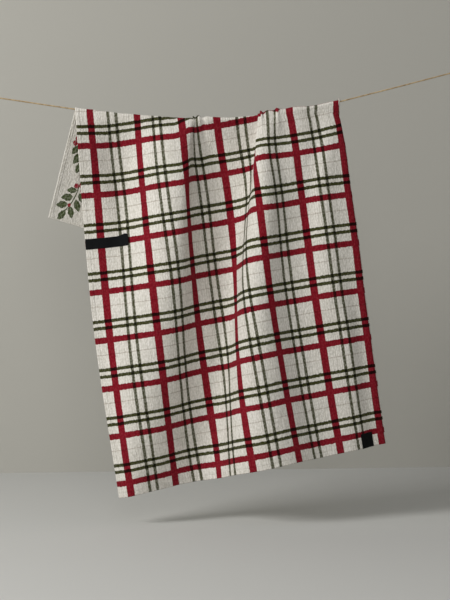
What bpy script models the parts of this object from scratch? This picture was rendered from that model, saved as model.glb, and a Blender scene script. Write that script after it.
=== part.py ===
"""Tea towel hung askew over a thin twine line.

Frame: metres, +Z up. The origin is the eye of the loop at the line's left end, +X runs to the right
along the line, and the front of the towel faces -Y.

The towel is one rectangle of cloth. On the front its folds hang almost plumb, while the cloth itself is
turned a few degrees under them, so the drape is worked out on the unfolded cloth: "across" is level and
"down" is plumb. A fold is a band where the cloth turns away from the level, and the hang of the cloth is
the running sum of those turns. Behind the line the short flap falls as a slightly fanned sheet.
"""

import math
from typing import NamedTuple

import bmesh
import bpy
import numpy as np
from mathutils import Vector

MM = 0.001

# Towel, cut size and thickness (mm)
TOWEL_WIDTH = 450.0
TOWEL_LENGTH = 704.0
CLOTH_THICKNESS = 1.2
HEM_THICKNESS = 1.8
HEM_WIDTH = 8.0

# How the towel is turned on the line (mm, degrees)
WARP_LEAN = 8.1          # the long edges lean this far from plumb
WEFT_RISE = 9.2          # the short edges rise this far to the right
FRONT_DROP = 545.0       # from the line to the front hem, along the left edge
CORNER_HEIGHT = -24.1    # height of the front's top left corner, where the line meets the left edge

# Folds of the front: the cloth is turned by "tilt" degrees at the middle of each fold, less and less
# towards its sides. Negative turns come forward to the right and face left.
# Columns: down, across, half width (mm), tilt (degrees)
FOLDS = {
    "left_margin": ((0, 30, 46, 30.5), (110, 59, 19, 31), (290, 64, 21, -5.5), (540, 84.5, 12.5, -37)),
    "left_panel": ((0, 108.5, 30, -46), (110, 107.5, 40, -43), (290, 95.5, 37.5, -24.5), (540, 84.5, 12, -15.5)),
    "middle_trough": ((0, 189, 17, 64), (110, 183.5, 15.5, 65), (290, 184.5, 34.5, 44.5), (540, 158.5, 52.5, 27.5)),
    "middle_panel": ((0, 197.5, 18.5, 23), (110, 217.5, 20.5, 21), (290, 232, 12, 32), (540, 201, 33.5, -3)),
    "pleat_flank": ((0, 309.5, 21.5, -91), (50, 306, 21.5, -107), (110, 297.5, 27, -92.5), (290, 276.5, 39.5, -77.5),
                    (540, 248.5, 48, -65.5)),
    "pleat_back": ((0, 349.5, 18.5, 63), (50, 340.5, 19.5, 39), (110, 346, 22, 39.5), (290, 348.5, 36.5, 36.5),
                   (540, 394.5, 40.5, 31.5)),
    "right_panel": ((0, 425, 12, -34.5), (110, 410.5, 12, -48), (290, 432.5, 30.5, -8.5), (540, 456, 19.5, 6)),
    "right_edge": ((0, 422.5, 38, 29.5), (110, 416.5, 42, 24.5), (290, 462, 14.5, 35), (540, 488, 21, 36)),
    "right_curl": ((0, 452.5, 5, 85), (110, 468.5, 5, 85), (540, 529.5, 5, 85)),
}
# Where the front's left edge hangs. Columns: down, x (mm)
LEFT_EDGE = ((0, 141.8), (110, 150.1), (290, 165.7), (540, 202.2))
# The weave is pulled askew and runs this much higher. Columns: from the left edge, at the line, at the hem (mm)
WEAVE_RISE = ((0, 7.0, 0), (14, 5.3, 0.3), (40, 2.0, 1.8), (90, 0.4, 1.2), (160, 0.5, 0.1), (235, 0.9, 0.6),
              (290, 3.8, 2.0), (340, 2.5, 0.2), (395, 3.3, 0.3), (450, 0.5, -0.8))
WEAVE_SAG = 1.8          # and halfway down the front this much lower
FOLD_EASE = 35.0         # folds open out from the line over about this drop

# Bunches of cloth on the line: they stand up from it. Columns: from the left edge, half width, height (mm)
BUNCHES = ((205, 18, 2.6), (232, 12, 0.9), (318, 9, 4.2), (332, 9, 2.4), (347, 13, 5.2), (376, 16, 3.8))
BUNCH_DROP = 22.0        # a bunch flattens out over about this drop

# Back flap (mm, degrees)
BACK_LEAN_LEFT = -14.0   # how the left edge of the flap leans, going down
BACK_LEAN_RIGHT = 2.0
BACK_STAND_OFF = 30.0    # how far the flap is held off behind the line by the folds
BACK_STAND_OFF_EDGE = 26.0
BACK_EASE = 40.0
BACK_FOLD_SHARE = 0.6    # the front's folds go on over the line and down the flap, this much as deep
BACK_SPREAD_DROP = 110.0 # cloth bunched on the line spreads out evenly over about this drop
BACK_WAVE = 3.0
BACK_WAVE_LENGTH = 140.0
BACK_WAVE_PHASE = 1.0
BACK_EDGE_WIDTH = 60.0

# Twine line. Columns of its route: x, z (mm)
TWINE_DIAMETER = 2.0
TWINE_ROUTE = (
    (22.05, -2.9), (43.6, -5.8), (66.8, -9.0), (94.2, -13.0), (121.7, -16.8), (143.7, -19.9), (188, -25.4),
    (230, -29.2), (265, -31.7), (295, -33.0), (325, -33.3), (355, -32.4), (385, -29.9), (415, -25.9),
    (445, -20.6), (480, -13.6), (513, -6.0), (541.7, 1.4), (584.5, 12.4), (627.4, 23.7), (664.7, 33.6),
    (690.5, 40.4),
)
TWINE_STEP = 9.0         # spacing of the tube's points
LINE_CLEARANCE = 0.8     # between the twine and the cloth that lies over it

# Loops tied at the ends of the line (mm)
LOOP_LENGTH = 17.9       # from the loop's eye to its mouth in the knot
LOOP_WIDTH = 11.0
LOOP_SHOULDER = 1.15     # the teardrop's fullness at its tip, and how much of it is gone at its mouth
LOOP_TAPER = 0.75
KNOT_LENGTH = 6.0
KNOT_RADIUS = 2.6
KNOT_OFFSET = 1.0        # the knot's middle lies this far past the loop's mouth
RIGHT_EYE = (712.0, 46.05)
FIT_GAP = 0.3            # between pieces that touch

# Labels: place of the upper left corner on the cloth (from the left edge, above the front hem) and size
SIDE_LABEL = {"left": 1.0, "up": 364.3, "width": 60.0, "height": 13.8}
CORNER_TAG = {"left": 404.5, "up": 20.5, "width": 20.5, "height": 20.5}
LABEL_THICKNESS = 0.9
LABEL_SLACK = 0.3         # the labels stand this much more off the uneven cloth

# Mesh divisions
COLUMNS = 58
FRONT_ROWS = 24
BACK_ROWS = 7
CREASE_ROWS = 6
FRONT_FIRST_ROW = 4.0    # first rows below the crest (mm)
BACK_FIRST_ROW = 6.0
ROW_SPREAD = 1.35        # rows lie closer together near the line
SIDE_HEM_SHARE = 0.6     # the side hems are this much of the end hems' width
LOOP_POINTS = 20
CREASE_SEARCH = (-60.0, 140.0)   # the line crosses the cloth this far below the top corner (mm)
CREASE_TRIALS = 401
NORMAL_STEP = 1.5
STILL = 0.02             # keeps the folds' drift at nought where the cloth has no turn
TWINE_ROUNDING = 2
KNOT_SEGMENTS = (12, 8)


class FoldSection(NamedTuple):
    """One level of a fold, in millimetres and degrees."""

    down: float
    across: float
    half_width: float
    tilt: float


def eased(levels, values, at):
    """Read a smooth curve through (levels, values) at the given levels (held level past its ends)."""
    levels = np.asarray(levels, dtype=float)
    values = np.asarray(values, dtype=float)
    slopes = np.gradient(values, levels)
    at = np.clip(at, levels[0], levels[-1])
    left = np.clip(np.searchsorted(levels, at, side="right") - 1, 0, len(levels) - 2)
    span = levels[left + 1] - levels[left]
    part = (at - levels[left]) / span
    rise = part * part * (3 - 2 * part)
    start = part * (1 - part) ** 2 * span
    end = -part * part * (1 - part) * span
    return values[left] * (1 - rise) + values[left + 1] * rise + slopes[left] * start + slopes[left + 1] * end


def running_sum(rates, step):
    """Trapezoid running sum of each row of rates."""
    steps = 0.5 * (rates[:, 1:] + rates[:, :-1]) * step
    return np.concatenate([np.zeros((len(rates), 1)), np.cumsum(steps, axis=1)], axis=1)


def weave_rise(from_left, below):
    """How much higher than straight the weave runs at cloth points of the front (mm)."""
    starts, at_line, at_hem = zip(*WEAVE_RISE)
    share = np.clip(below / FRONT_DROP, 0.0, 1.0)
    rise = eased(starts, at_line, from_left) * (1 - share) + eased(starts, at_hem, from_left) * share
    return rise - WEAVE_SAG * 4 * share * (1 - share)


class FrontDrape:
    """The front of the towel: where a point of the unfolded cloth hangs (mm)."""

    ACROSS_STEP = 2.0
    DOWN_STEP = 10.0

    def __init__(self):
        self.across = np.arange(-10.0, 570.0, self.ACROSS_STEP)
        self.down = np.arange(-40.0, 590.0, self.DOWN_STEP)
        lean = math.tan(math.radians(WARP_LEAN))
        turn, drift = self._turns()
        level = np.cos(turn)
        shift = drift * (1 - level) / (1 + drift ** 2)
        x = running_sum((drift ** 2 + level) / (1 + drift ** 2), self.ACROSS_STEP)
        y = running_sum(np.sin(turn), self.ACROSS_STEP)
        drop = running_sum(shift, self.ACROSS_STEP)
        edge_x = eased(*zip(*LEFT_EDGE), self.down)
        for row, down in enumerate(self.down):
            edge = down * lean
            inside = (self.across > edge) & (self.across < edge + TOWEL_WIDTH)
            x[row] += edge_x[row] - np.interp(edge, self.across, x[row])
            y[row] -= y[row][inside].mean()
            drop[row] += down - np.interp(edge, self.across, drop[row])
        self.x, self.y, self.drop = x, y, drop

    def _turns(self):
        """Turn of the cloth and the drift of its folds, on the whole unfolded sheet."""
        turn = np.zeros((len(self.down), len(self.across)))
        drift = np.zeros_like(turn)
        weight = np.full_like(turn, STILL)
        for rows in FOLDS.values():
            sections = [FoldSection(*row) for row in rows]
            levels = [section.down for section in sections]
            middle = eased(levels, [section.across for section in sections], self.down)
            half_width = eased(levels, [section.half_width for section in sections], self.down)
            tilt = np.radians(eased(levels, [section.tilt for section in sections], self.down))
            shape = np.exp(-((self.across[None, :] - middle[:, None]) / half_width[:, None]) ** 2)
            turn += tilt[:, None] * shape
            strength = np.abs(tilt[:, None]) * shape
            drift += strength * np.gradient(middle, self.down)[:, None]
            weight += strength
        return turn, drift / weight

    def _read(self, grid, across, down):
        column = np.clip((across - self.across[0]) / self.ACROSS_STEP, 0, len(self.across) - 1.001)
        row = np.clip((down - self.down[0]) / self.DOWN_STEP, 0, len(self.down) - 1.001)
        i, j = column.astype(int), row.astype(int)
        a, b = column - i, row - j
        upper = grid[j, i] * (1 - a) + grid[j, i + 1] * a
        lower = grid[j + 1, i] * (1 - a) + grid[j + 1, i + 1] * a
        return upper * (1 - b) + lower * b

    def place(self, from_left, below):
        """Hanging place (x, fold depth, z) of cloth points: from the left edge, below the top corner."""
        lean, rise = math.radians(WARP_LEAN), math.radians(WEFT_RISE)
        below = below - weave_rise(from_left, below)
        across = from_left * math.cos(rise) + below * math.sin(lean)
        down = below * math.cos(lean) - from_left * math.sin(rise)
        x = self._read(self.x, across, down)
        y = self._read(self.y, across, down)
        z = CORNER_HEIGHT - self._read(self.drop, across, down)
        return x, y, z


def line_height(x):
    """Height of the twine's middle at x (mm)."""
    return eased(*zip(*TWINE_ROUTE), x)


class TowelShape:
    """The whole towel: cloth coordinates in, place in the part's frame out (mm)."""

    def __init__(self):
        self.front = FrontDrape()
        self.radius = TWINE_DIAMETER / 2 + LINE_CLEARANCE + CLOTH_THICKNESS / 2
        self.half_turn = math.pi * self.radius / 2
        self.crease_ends = self.crease(np.array([0.0, TOWEL_WIDTH]))[1]

    def crease(self, from_left):
        """How far below the top corner the line crosses each upright of the cloth, and where (x)."""
        trial = np.linspace(*CREASE_SEARCH, CREASE_TRIALS)
        below = np.empty_like(from_left)
        for index, start in enumerate(from_left):
            x, _, z = self.front.place(np.full_like(trial, start), trial)
            below[index] = np.interp(0.0, line_height(x) - z, trial)
        x, _, _ = self.front.place(from_left, below)
        return below, x

    def upright(self, from_left):
        """One upright of the cloth, with its crossing of the line worked out."""
        below, crease_x = self.crease(np.array([from_left]))
        return Upright(self, from_left, float(below[0]), float(crease_x[0]))

    def frame_at(self, from_left, above_hem):
        """Place and outward normal of the front at a cloth point, up from the front hem along the cloth."""
        here = self.upright(from_left)
        run = here.front_run - above_hem
        left, right = self.upright(from_left - NORMAL_STEP), self.upright(from_left + NORMAL_STEP)
        level = right.place(right.front_run - above_hem) - left.place(left.front_run - above_hem)
        upward = here.place(run - NORMAL_STEP) - here.place(run + NORMAL_STEP)
        return here.place(run), level.cross(upward).normalized()


class Upright:
    """One line of the cloth along its length, from the back hem over the line to the front hem (mm)."""

    def __init__(self, towel, from_left, below, crease_x):
        self.towel = towel
        self.from_left = from_left
        self.below = below
        self.crease_x = crease_x
        self.crease_z = float(line_height(crease_x))
        self.bunch = sum(height * math.exp(-((from_left - middle) / half) ** 2)
                         for middle, half, height in BUNCHES)
        _, depth, _ = towel.front.place(np.array([from_left]), np.array([below]))
        self.fold_depth = float(depth[0])
        self.front_run = FRONT_DROP - below + towel.half_turn
        self.back_run = TOWEL_LENGTH - self.front_run

    def place(self, run):
        """Place at a signed run from the crest over the line: the front is positive, the back negative."""
        half_turn = self.towel.half_turn
        if run > half_turn:
            return self._front(run - half_turn)
        if run < -half_turn:
            return self._back(-run - half_turn)
        angle = run / self.towel.radius
        radius = self.towel.radius + self.bunch
        return Vector((self.crease_x, -radius * math.sin(angle), self.crease_z + radius * math.cos(angle)))

    def _stand_out(self, drop):
        """How far the cloth stands off the line's middle before its folds open."""
        return self.towel.radius + self.bunch * math.exp(-drop / BUNCH_DROP)

    def _front(self, drop):
        x, depth, z = self.towel.front.place(np.array([self.from_left]), np.array([self.below + drop]))
        open_out = 1 - math.exp(-drop / FOLD_EASE)
        return Vector((x[0], depth[0] * open_out - self._stand_out(drop), z[0]))

    def _back(self, drop):
        share = self.from_left / TOWEL_WIDTH
        lean = math.radians(BACK_LEAN_LEFT + (BACK_LEAN_RIGHT - BACK_LEAN_LEFT) * share)
        edge = math.exp(-self.from_left / BACK_EDGE_WIDTH)
        stand_off = BACK_STAND_OFF + (BACK_STAND_OFF_EDGE - BACK_STAND_OFF) * edge
        stand_off += BACK_WAVE * math.sin(math.tau * self.from_left / BACK_WAVE_LENGTH + BACK_WAVE_PHASE)
        stand_off += BACK_FOLD_SHARE * self.fold_depth
        backward = self._stand_out(drop) + stand_off * (1 - math.exp(-drop / BACK_EASE))
        left_x, right_x = self.towel.crease_ends
        spread = (left_x + (right_x - left_x) * share - self.crease_x) * (1 - math.exp(-drop / BACK_SPREAD_DROP))
        x = self.crease_x + spread + drop * math.sin(lean)
        return Vector((x, backward, self.crease_z - drop * math.cos(lean)))


def make_material(name, colour, roughness):
    """Principled material with a plain colour."""
    material = bpy.data.materials.new(name)
    material.use_nodes = True
    shader = material.node_tree.nodes["Principled BSDF"]
    shader.inputs["Base Color"].default_value = (*colour, 1.0)
    shader.inputs["Roughness"].default_value = roughness
    shader.inputs["Metallic"].default_value = 0.0
    return material


def add_object(name, data, material):
    """Put mesh or curve data into the scene as a named object."""
    obj = bpy.data.objects.new(name, data)
    obj.data.materials.append(material)
    bpy.context.scene.collection.objects.link(obj)
    return obj


def sheet_mesh(name, places):
    """Grid mesh whose vertices take the given places (rows of points, in mm)."""
    rows, columns = len(places), len(places[0])
    grid = bmesh.new()
    bmesh.ops.create_grid(grid, x_segments=columns - 1, y_segments=rows - 1, size=1.0)
    for vertex in grid.verts:
        column = round((vertex.co.x + 1) / 2 * (columns - 1))
        row = round((vertex.co.y + 1) / 2 * (rows - 1))
        vertex.co = places[row][column] * MM
    mesh = bpy.data.meshes.new(name)
    grid.to_mesh(mesh)
    grid.free()
    mesh.shade_smooth()
    return mesh


def border_vertices(mesh):
    """Indices of the vertices on the open border of a sheet."""
    sheet = bmesh.new()
    sheet.from_mesh(mesh)
    border = [vertex.index for vertex in sheet.verts if vertex.is_boundary]
    sheet.free()
    return border


def solidify(obj, thickness):
    """Give a sheet its thickness, half to each side."""
    modifier = obj.modifiers.new("thickness", "SOLIDIFY")
    modifier.thickness = thickness * MM
    modifier.offset = 0.0
    return modifier


def run_stations(upright):
    """Signed runs of an upright's vertices, from the back hem over the line to the front hem."""
    half_turn = upright.towel.half_turn
    crest = np.linspace(-half_turn, half_turn, CREASE_ROWS + 1)
    back_start = half_turn + BACK_FIRST_ROW
    back = np.linspace(upright.back_run, back_start, BACK_ROWS)
    back = np.insert(back, 1, upright.back_run - HEM_WIDTH)
    front_start = half_turn + FRONT_FIRST_ROW
    spread = np.linspace(0.0, 1.0, FRONT_ROWS) ** ROW_SPREAD
    front = front_start + (upright.front_run - front_start) * spread
    front = np.insert(front, -1, upright.front_run - HEM_WIDTH)
    return np.concatenate([-back, crest, front])


def build_towel(shape, material):
    """The cloth with its hems, as one closed sheet over the line."""
    hem_line = HEM_WIDTH * SIDE_HEM_SHARE
    from_left = np.linspace(hem_line, TOWEL_WIDTH - hem_line, COLUMNS)
    uprights = [shape.upright(left) for left in (0.0, *from_left, TOWEL_WIDTH)]
    columns = [[upright.place(run) for run in run_stations(upright)] for upright in uprights]
    rows = list(zip(*columns))
    towel = add_object("towel", sheet_mesh("towel", rows), material)
    modifier = solidify(towel, HEM_THICKNESS)
    group = towel.vertex_groups.new(name="hem")
    modifier.vertex_group = group.name
    field = CLOTH_THICKNESS / HEM_THICKNESS
    group.add(list(range(len(towel.data.vertices))), field, "REPLACE")
    group.add(border_vertices(towel.data), 1.0, "REPLACE")
    return towel


def build_label(name, shape, size, columns, rows, material):
    """A ribbon sewn flat on the front, following the cloth under it."""
    stand_off = HEM_THICKNESS / 2 + FIT_GAP + LABEL_THICKNESS / 2 + LABEL_SLACK
    places = []
    for up in np.linspace(size["up"] - size["height"], size["up"], rows):
        line = []
        for left in np.linspace(size["left"], size["left"] + size["width"], columns):
            here, outward = shape.frame_at(left, up)
            line.append(here + outward * stand_off)
        places.append(line)
    label = add_object(name, sheet_mesh(name, places), material)
    solidify(label, LABEL_THICKNESS)
    return label


def tube(name, points, diameter, material, cyclic=False):
    """Round cord along points (mm)."""
    curve = bpy.data.curves.new(name, "CURVE")
    curve.dimensions = "3D"
    curve.bevel_depth = diameter / 2 * MM
    curve.bevel_resolution = TWINE_ROUNDING
    curve.use_fill_caps = not cyclic
    spline = curve.splines.new("POLY")
    spline.points.add(len(points) - 1)
    for target, point in zip(spline.points, points):
        target.co = (*(Vector(point) * MM), 1.0)
    spline.use_cyclic_u = cyclic
    return add_object(name, curve, material)


def build_line(material):
    """The taut twine between its two end loops."""
    start, end = TWINE_ROUTE[0][0], TWINE_ROUTE[-1][0]
    stations = np.linspace(start, end, round((end - start) / TWINE_STEP) + 1)
    return tube("line", [(x, 0.0, float(line_height(x))) for x in stations], TWINE_DIAMETER, material)


def build_knot(name, place, towards, material):
    """Barrel of a small knot, lying along the line; it is the tool of a union and isn't a piece itself."""
    knot = bmesh.new()
    bmesh.ops.create_uvsphere(knot, u_segments=KNOT_SEGMENTS[0], v_segments=KNOT_SEGMENTS[1], radius=1.0)
    bmesh.ops.scale(knot, verts=knot.verts, vec=(KNOT_RADIUS * MM, KNOT_RADIUS * MM, KNOT_LENGTH / 2 * MM))
    turned = Vector((0, 0, 1)).rotation_difference(towards).to_matrix()
    bmesh.ops.rotate(knot, verts=knot.verts, cent=(0, 0, 0), matrix=turned)
    bmesh.ops.translate(knot, verts=knot.verts, vec=place * MM)
    mesh = bpy.data.meshes.new(name)
    knot.to_mesh(mesh)
    knot.free()
    obj = add_object(name, mesh, material)
    obj.hide_render = True
    obj.display_type = "WIRE"
    return obj


def build_loop(name, eye, towards, material):
    """A small tied loop: a teardrop of twine closed by a knot, its eye at the given place."""
    across = Vector((-towards.z, 0.0, towards.x))
    tip = eye - towards * (LOOP_WIDTH / 2)
    mouth = eye + towards * LOOP_LENGTH
    outline = []
    for index in range(LOOP_POINTS):
        angle = math.tau * index / LOOP_POINTS
        share = (1 - math.cos(angle)) / 2
        half_width = LOOP_WIDTH / 2 * (LOOP_SHOULDER - LOOP_TAPER * share)
        outline.append(tip.lerp(mouth, share) + across * (math.sin(angle) * half_width))
    guide = tube(name + "_guide", outline, TWINE_DIAMETER, material, cyclic=True)
    bpy.context.view_layer.update()
    ring = bpy.data.meshes.new_from_object(guide.evaluated_get(bpy.context.evaluated_depsgraph_get()))
    bpy.data.objects.remove(guide)
    loop = bpy.data.objects.new(name, ring)
    bpy.context.scene.collection.objects.link(loop)
    knot_place = eye + towards * (LOOP_LENGTH + KNOT_OFFSET)
    joined = loop.modifiers.new("knot", "BOOLEAN")
    joined.operation = "UNION"
    joined.object = build_knot(name + "_knot", knot_place, towards, material)
    return loop


def main():
    """Clear the scene and build every piece."""
    for obj in list(bpy.data.objects):
        bpy.data.objects.remove(obj)
    cloth = make_material("printed cotton", (0.78, 0.73, 0.66), 0.9)
    ribbon = make_material("black ribbon", (0.012, 0.014, 0.018), 0.6)
    twine = make_material("natural twine", (0.52, 0.38, 0.22), 0.85)
    shape = TowelShape()
    build_towel(shape, cloth)
    build_label("side_label", shape, SIDE_LABEL, 16, 4, ribbon)
    build_label("corner_tag", shape, CORNER_TAG, 6, 6, ribbon)
    build_line(twine)
    left_eye, right_eye = Vector((0, 0, 0)), Vector((RIGHT_EYE[0], 0, RIGHT_EYE[1]))
    left_end = Vector((TWINE_ROUTE[0][0], 0, TWINE_ROUTE[0][1]))
    right_end = Vector((TWINE_ROUTE[-1][0], 0, TWINE_ROUTE[-1][1]))
    build_loop("line_loop_left", left_eye, (left_end - left_eye).normalized(), twine)
    build_loop("line_loop_right", right_eye, (right_end - right_eye).normalized(), twine)


main()
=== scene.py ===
"""Looks of a checked tea towel that hangs askew over a thin twine line.

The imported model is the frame. The towel is one sheet of cloth, so its drape is worked out on the unfolded
cloth in millimetres: "left" is measured from the left edge and "above" from the front hem, along the cloth.
The outer side carries a red and green check, the inner side a loose scatter of sprigs and berries.
"""

import logging
import math
from dataclasses import dataclass
from enum import Enum
from functools import reduce
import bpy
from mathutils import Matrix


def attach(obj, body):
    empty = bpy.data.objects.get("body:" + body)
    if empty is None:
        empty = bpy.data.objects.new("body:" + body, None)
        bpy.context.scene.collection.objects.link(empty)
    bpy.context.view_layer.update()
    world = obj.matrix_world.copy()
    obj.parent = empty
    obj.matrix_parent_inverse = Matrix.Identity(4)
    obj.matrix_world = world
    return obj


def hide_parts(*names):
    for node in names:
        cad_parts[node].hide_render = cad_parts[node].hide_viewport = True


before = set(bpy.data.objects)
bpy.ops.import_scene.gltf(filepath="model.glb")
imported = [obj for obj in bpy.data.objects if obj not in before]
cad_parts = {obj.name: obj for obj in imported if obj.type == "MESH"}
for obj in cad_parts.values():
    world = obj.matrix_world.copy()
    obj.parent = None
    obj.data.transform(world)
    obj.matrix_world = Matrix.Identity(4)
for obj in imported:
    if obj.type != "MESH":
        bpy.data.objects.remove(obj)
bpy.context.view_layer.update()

from types import SimpleNamespace
from typing import Callable, NamedTuple, Optional, Sequence, Union

import bmesh
import bpy
import numpy as np
from mathutils import Matrix, Vector, noise

MM = 0.001
ROOT = "root"
CLOTH_MAP = "cloth"
UP = Vector((0.0, 0.0, 1.0))
BACKWARD = Vector((0.0, 1.0, 0.0))

Array = np.ndarray
Colour = tuple[float, float, float]
Material = bpy.types.Material
Mesh = bpy.types.Mesh
NodeTree = bpy.types.NodeTree
Piece = bpy.types.Object
Points = Sequence[Vector]
Shape = bmesh.types.BMesh

log = logging.getLogger("tea_towel")


# ----------------------------------------------------------------------------------------------------------
# Shape of the hanging cloth, in millimetres
# ----------------------------------------------------------------------------------------------------------


class Bunch(NamedTuple):
    """A soft bump across the cloth, such as cloth pushed together on the line."""

    left: float
    half_width: float
    height: float


class Crease(NamedTuple):
    """A soft ridge, or a trough where its height is negative, between two points of the cloth."""

    start_left: float
    start_above: float
    end_left: float
    end_above: float
    half_width: float
    height: float


# Folds of the front. Columns: down, across, half width, turn in degrees
FOLDS = {
    "left_margin": ((0, 30, 46, 30.5), (110, 59, 19, 31), (290, 64, 21, -5.5), (540, 84.5, 12.5, -37)),
    "left_panel": ((0, 108.5, 30, -46), (110, 107.5, 40, -43), (290, 95.5, 37.5, -24.5), (540, 84.5, 12, -15.5)),
    "middle_trough": ((0, 189, 17, 64), (110, 183.5, 15.5, 65), (290, 184.5, 34.5, 44.5), (540, 158.5, 52.5, 27.5)),
    "middle_panel": ((0, 197.5, 18.5, 23), (110, 217.5, 20.5, 21), (290, 232, 12, 32), (540, 201, 33.5, -3)),
    "pleat_flank": (
        (0, 309.5, 21.5, -91), (50, 306, 21.5, -107), (110, 297.5, 27, -92.5), (290, 276.5, 39.5, -77.5),
        (540, 248.5, 48, -65.5),
    ),
    "pleat_back": (
        (0, 349.5, 18.5, 63), (50, 340.5, 19.5, 39), (110, 346, 22, 39.5), (290, 348.5, 36.5, 36.5),
        (540, 394.5, 40.5, 31.5),
    ),
    "right_panel": ((0, 425, 12, -34.5), (110, 410.5, 12, -48), (290, 432.5, 30.5, -8.5), (540, 456, 19.5, 6)),
    "right_edge": ((0, 422.5, 38, 29.5), (110, 416.5, 42, 24.5), (290, 462, 14.5, 35), (540, 488, 21, 36)),
    "right_curl": ((0, 452.5, 5, 85), (110, 468.5, 5, 85), (540, 529.5, 5, 85)),
}
# Where the front's left edge hangs. Columns: down, x
LEFT_EDGE = ((0, 141.8), (110, 150.1), (290, 165.7), (540, 202.2))
# The weave is pulled askew and runs this much higher. Columns: from the left edge, at the line, at the hem
WEAVE_RISE = (
    (0, 7.0, 0), (14, 5.3, 0.3), (40, 2.0, 1.8), (90, 0.4, 1.2), (160, 0.5, 0.1), (235, 0.9, 0.6),
    (290, 3.8, 2.0), (340, 2.5, 0.2), (395, 3.3, 0.3), (450, 0.5, -0.8),
)
# Near the line the print is pulled up this much more, down to PULL_REACH. Columns: from the left edge, rise
PRINT_PULL = (
    (0, 0.0), (120, -0.2), (140, -1.6), (154, -1.8), (163, 1.0), (172, 2.8), (182, 2.0), (190, 0.4),
    (200, -0.4), (212, 0.8), (225, 0.5), (245, -0.3), (265, -0.8), (285, -1.2), (300, 0.0), (318, 3.2),
    (340, 2.0), (365, 0.9), (405, 1.6), (425, 4.0), (440, 6.0), (450, 7.0),
)
PULL_REACH = (42.0, 115.0)
# The line's middle, left to right. Columns: x, z
TWINE_ROUTE = (
    (22.05, -2.9), (43.6, -5.8), (66.8, -9.0), (94.2, -13.0), (121.7, -16.8), (143.7, -19.9), (188, -25.4),
    (230, -29.2), (265, -31.7), (295, -33.0), (325, -33.3), (355, -32.4), (385, -29.9), (415, -25.9),
    (445, -20.6), (480, -13.6), (513, -6.0), (541.7, 1.4), (584.5, 12.4), (627.4, 23.7), (664.7, 33.6),
    (690.5, 40.4),
)


def rows_of(kind: Callable, *rows: tuple) -> tuple:
    """Make one named tuple of each row of a table."""
    return tuple(kind(*row) for row in rows)


# Cloth that stands up from the line, the print's slips right over it, and small ruffles under it
BUNCHES = rows_of(
    Bunch, (205, 18, 2.6), (232, 12, 0.9), (318, 9, 4.2), (332, 9, 2.4), (347, 13, 5.2), (376, 16, 3.8)
)
CREST_SLIPS = rows_of(Bunch, (310, 6, 2.6), (321, 6, 3.2), (346, 8, 2.6))
CREST_SLIP_REACH = 7.0
RUFFLES = rows_of(
    Bunch,
    (184, 3.2, -1.4), (191, 3.0, 1.6), (198, 3.0, -1.3), (204.5, 3.0, 1.9), (211, 3.2, -1.3), (218, 3.5, 1.2),
    (297, 3.0, 1.2), (303, 2.4, -1.5), (308, 2.4, 2.0), (313, 2.2, -1.8), (317.5, 2.2, 1.9), (322.5, 2.4, -1.6),
    (329, 3.0, 1.0), (338, 3.4, -1.2), (346, 3.6, 1.3), (449, 7.0, -0.8),
)
# Where the mesh is finer, and by how much
TIGHT_PLACES = rows_of(Bunch, (193.0, 22.0, 0.7), (318.0, 34.0, 0.7), (442.0, 14.0, 0.7))
CREASES = rows_of(
    Crease,
    (196, 505, 208, 455, 4.5, 0.9), (205, 500, 222, 440, 5.0, -0.8), (308, 512, 309, 418, 3.6, 1.8),
    (316, 492, 322, 430, 4.0, -1.0), (345, 490, 352, 440, 5.5, 0.7), (60, 500, 92, 420, 9.0, 0.7),
    (100, 470, 84, 380, 8.0, -0.6), (30, 330, 70, 250, 9.0, 0.6), (140, 420, 150, 300, 9.0, -0.7),
    (250, 380, 236, 250, 8.0, 0.6), (380, 430, 400, 300, 10.0, 0.6), (410, 250, 390, 130, 10.0, -0.6),
    (120, 160, 110, 40, 10.0, 0.6), (180, 230, 170, 90, 9.0, 0.6), (330, 210, 320, 90, 9.0, -0.6),
    (255, 120, 262, 20, 8.0, 0.5),
)


def bell(offset: Union[float, Array], half_width: Union[float, Array]) -> Array:
    """Height of a soft bump, one in its middle."""
    return np.exp(-((offset / half_width) ** 2))


def bunched(bunches: Sequence[Bunch], left: Union[float, Array]) -> Array:
    """Height of all the bunches together, at distances from the left edge."""
    return sum(bunch.height * bell(left - bunch.left, bunch.half_width) for bunch in bunches)


def eased(levels: Sequence[float], values: Sequence[float], at: Union[float, Array]) -> Array:
    """Read a smooth curve through points, held level past its ends.

    Args:
        levels: Where the points lie, rising.
        values: The curve's value at each level.
        at: Where to read it.

    Returns:
        The values there.
    """
    levels, values = np.asarray(levels, dtype=float), np.asarray(values, dtype=float)
    slopes = np.gradient(values, levels)
    at = np.clip(at, levels[0], levels[-1])
    left = np.clip(np.searchsorted(levels, at, side="right") - 1, 0, len(levels) - 2)
    span = levels[left + 1] - levels[left]
    part = (at - levels[left]) / span
    rise = part * part * (3 - 2 * part)
    start = part * (1 - part) ** 2 * span
    end = -part * part * (1 - part) * span
    return values[left] * (1 - rise) + values[left + 1] * rise + slopes[left] * start + slopes[left + 1] * end


def running_sum(rates: Array, step: float) -> Array:
    """Add up each row of rates, which lie a step apart, from nought by the trapezoid rule."""
    steps = 0.5 * (rates[:, 1:] + rates[:, :-1]) * step
    return np.concatenate([np.zeros((len(rates), 1)), np.cumsum(steps, axis=1)], axis=1)


def line_height(x: Union[float, Array]) -> Array:
    """Height of the twine's middle at x."""
    return eased(*zip(*TWINE_ROUTE), x)


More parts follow.
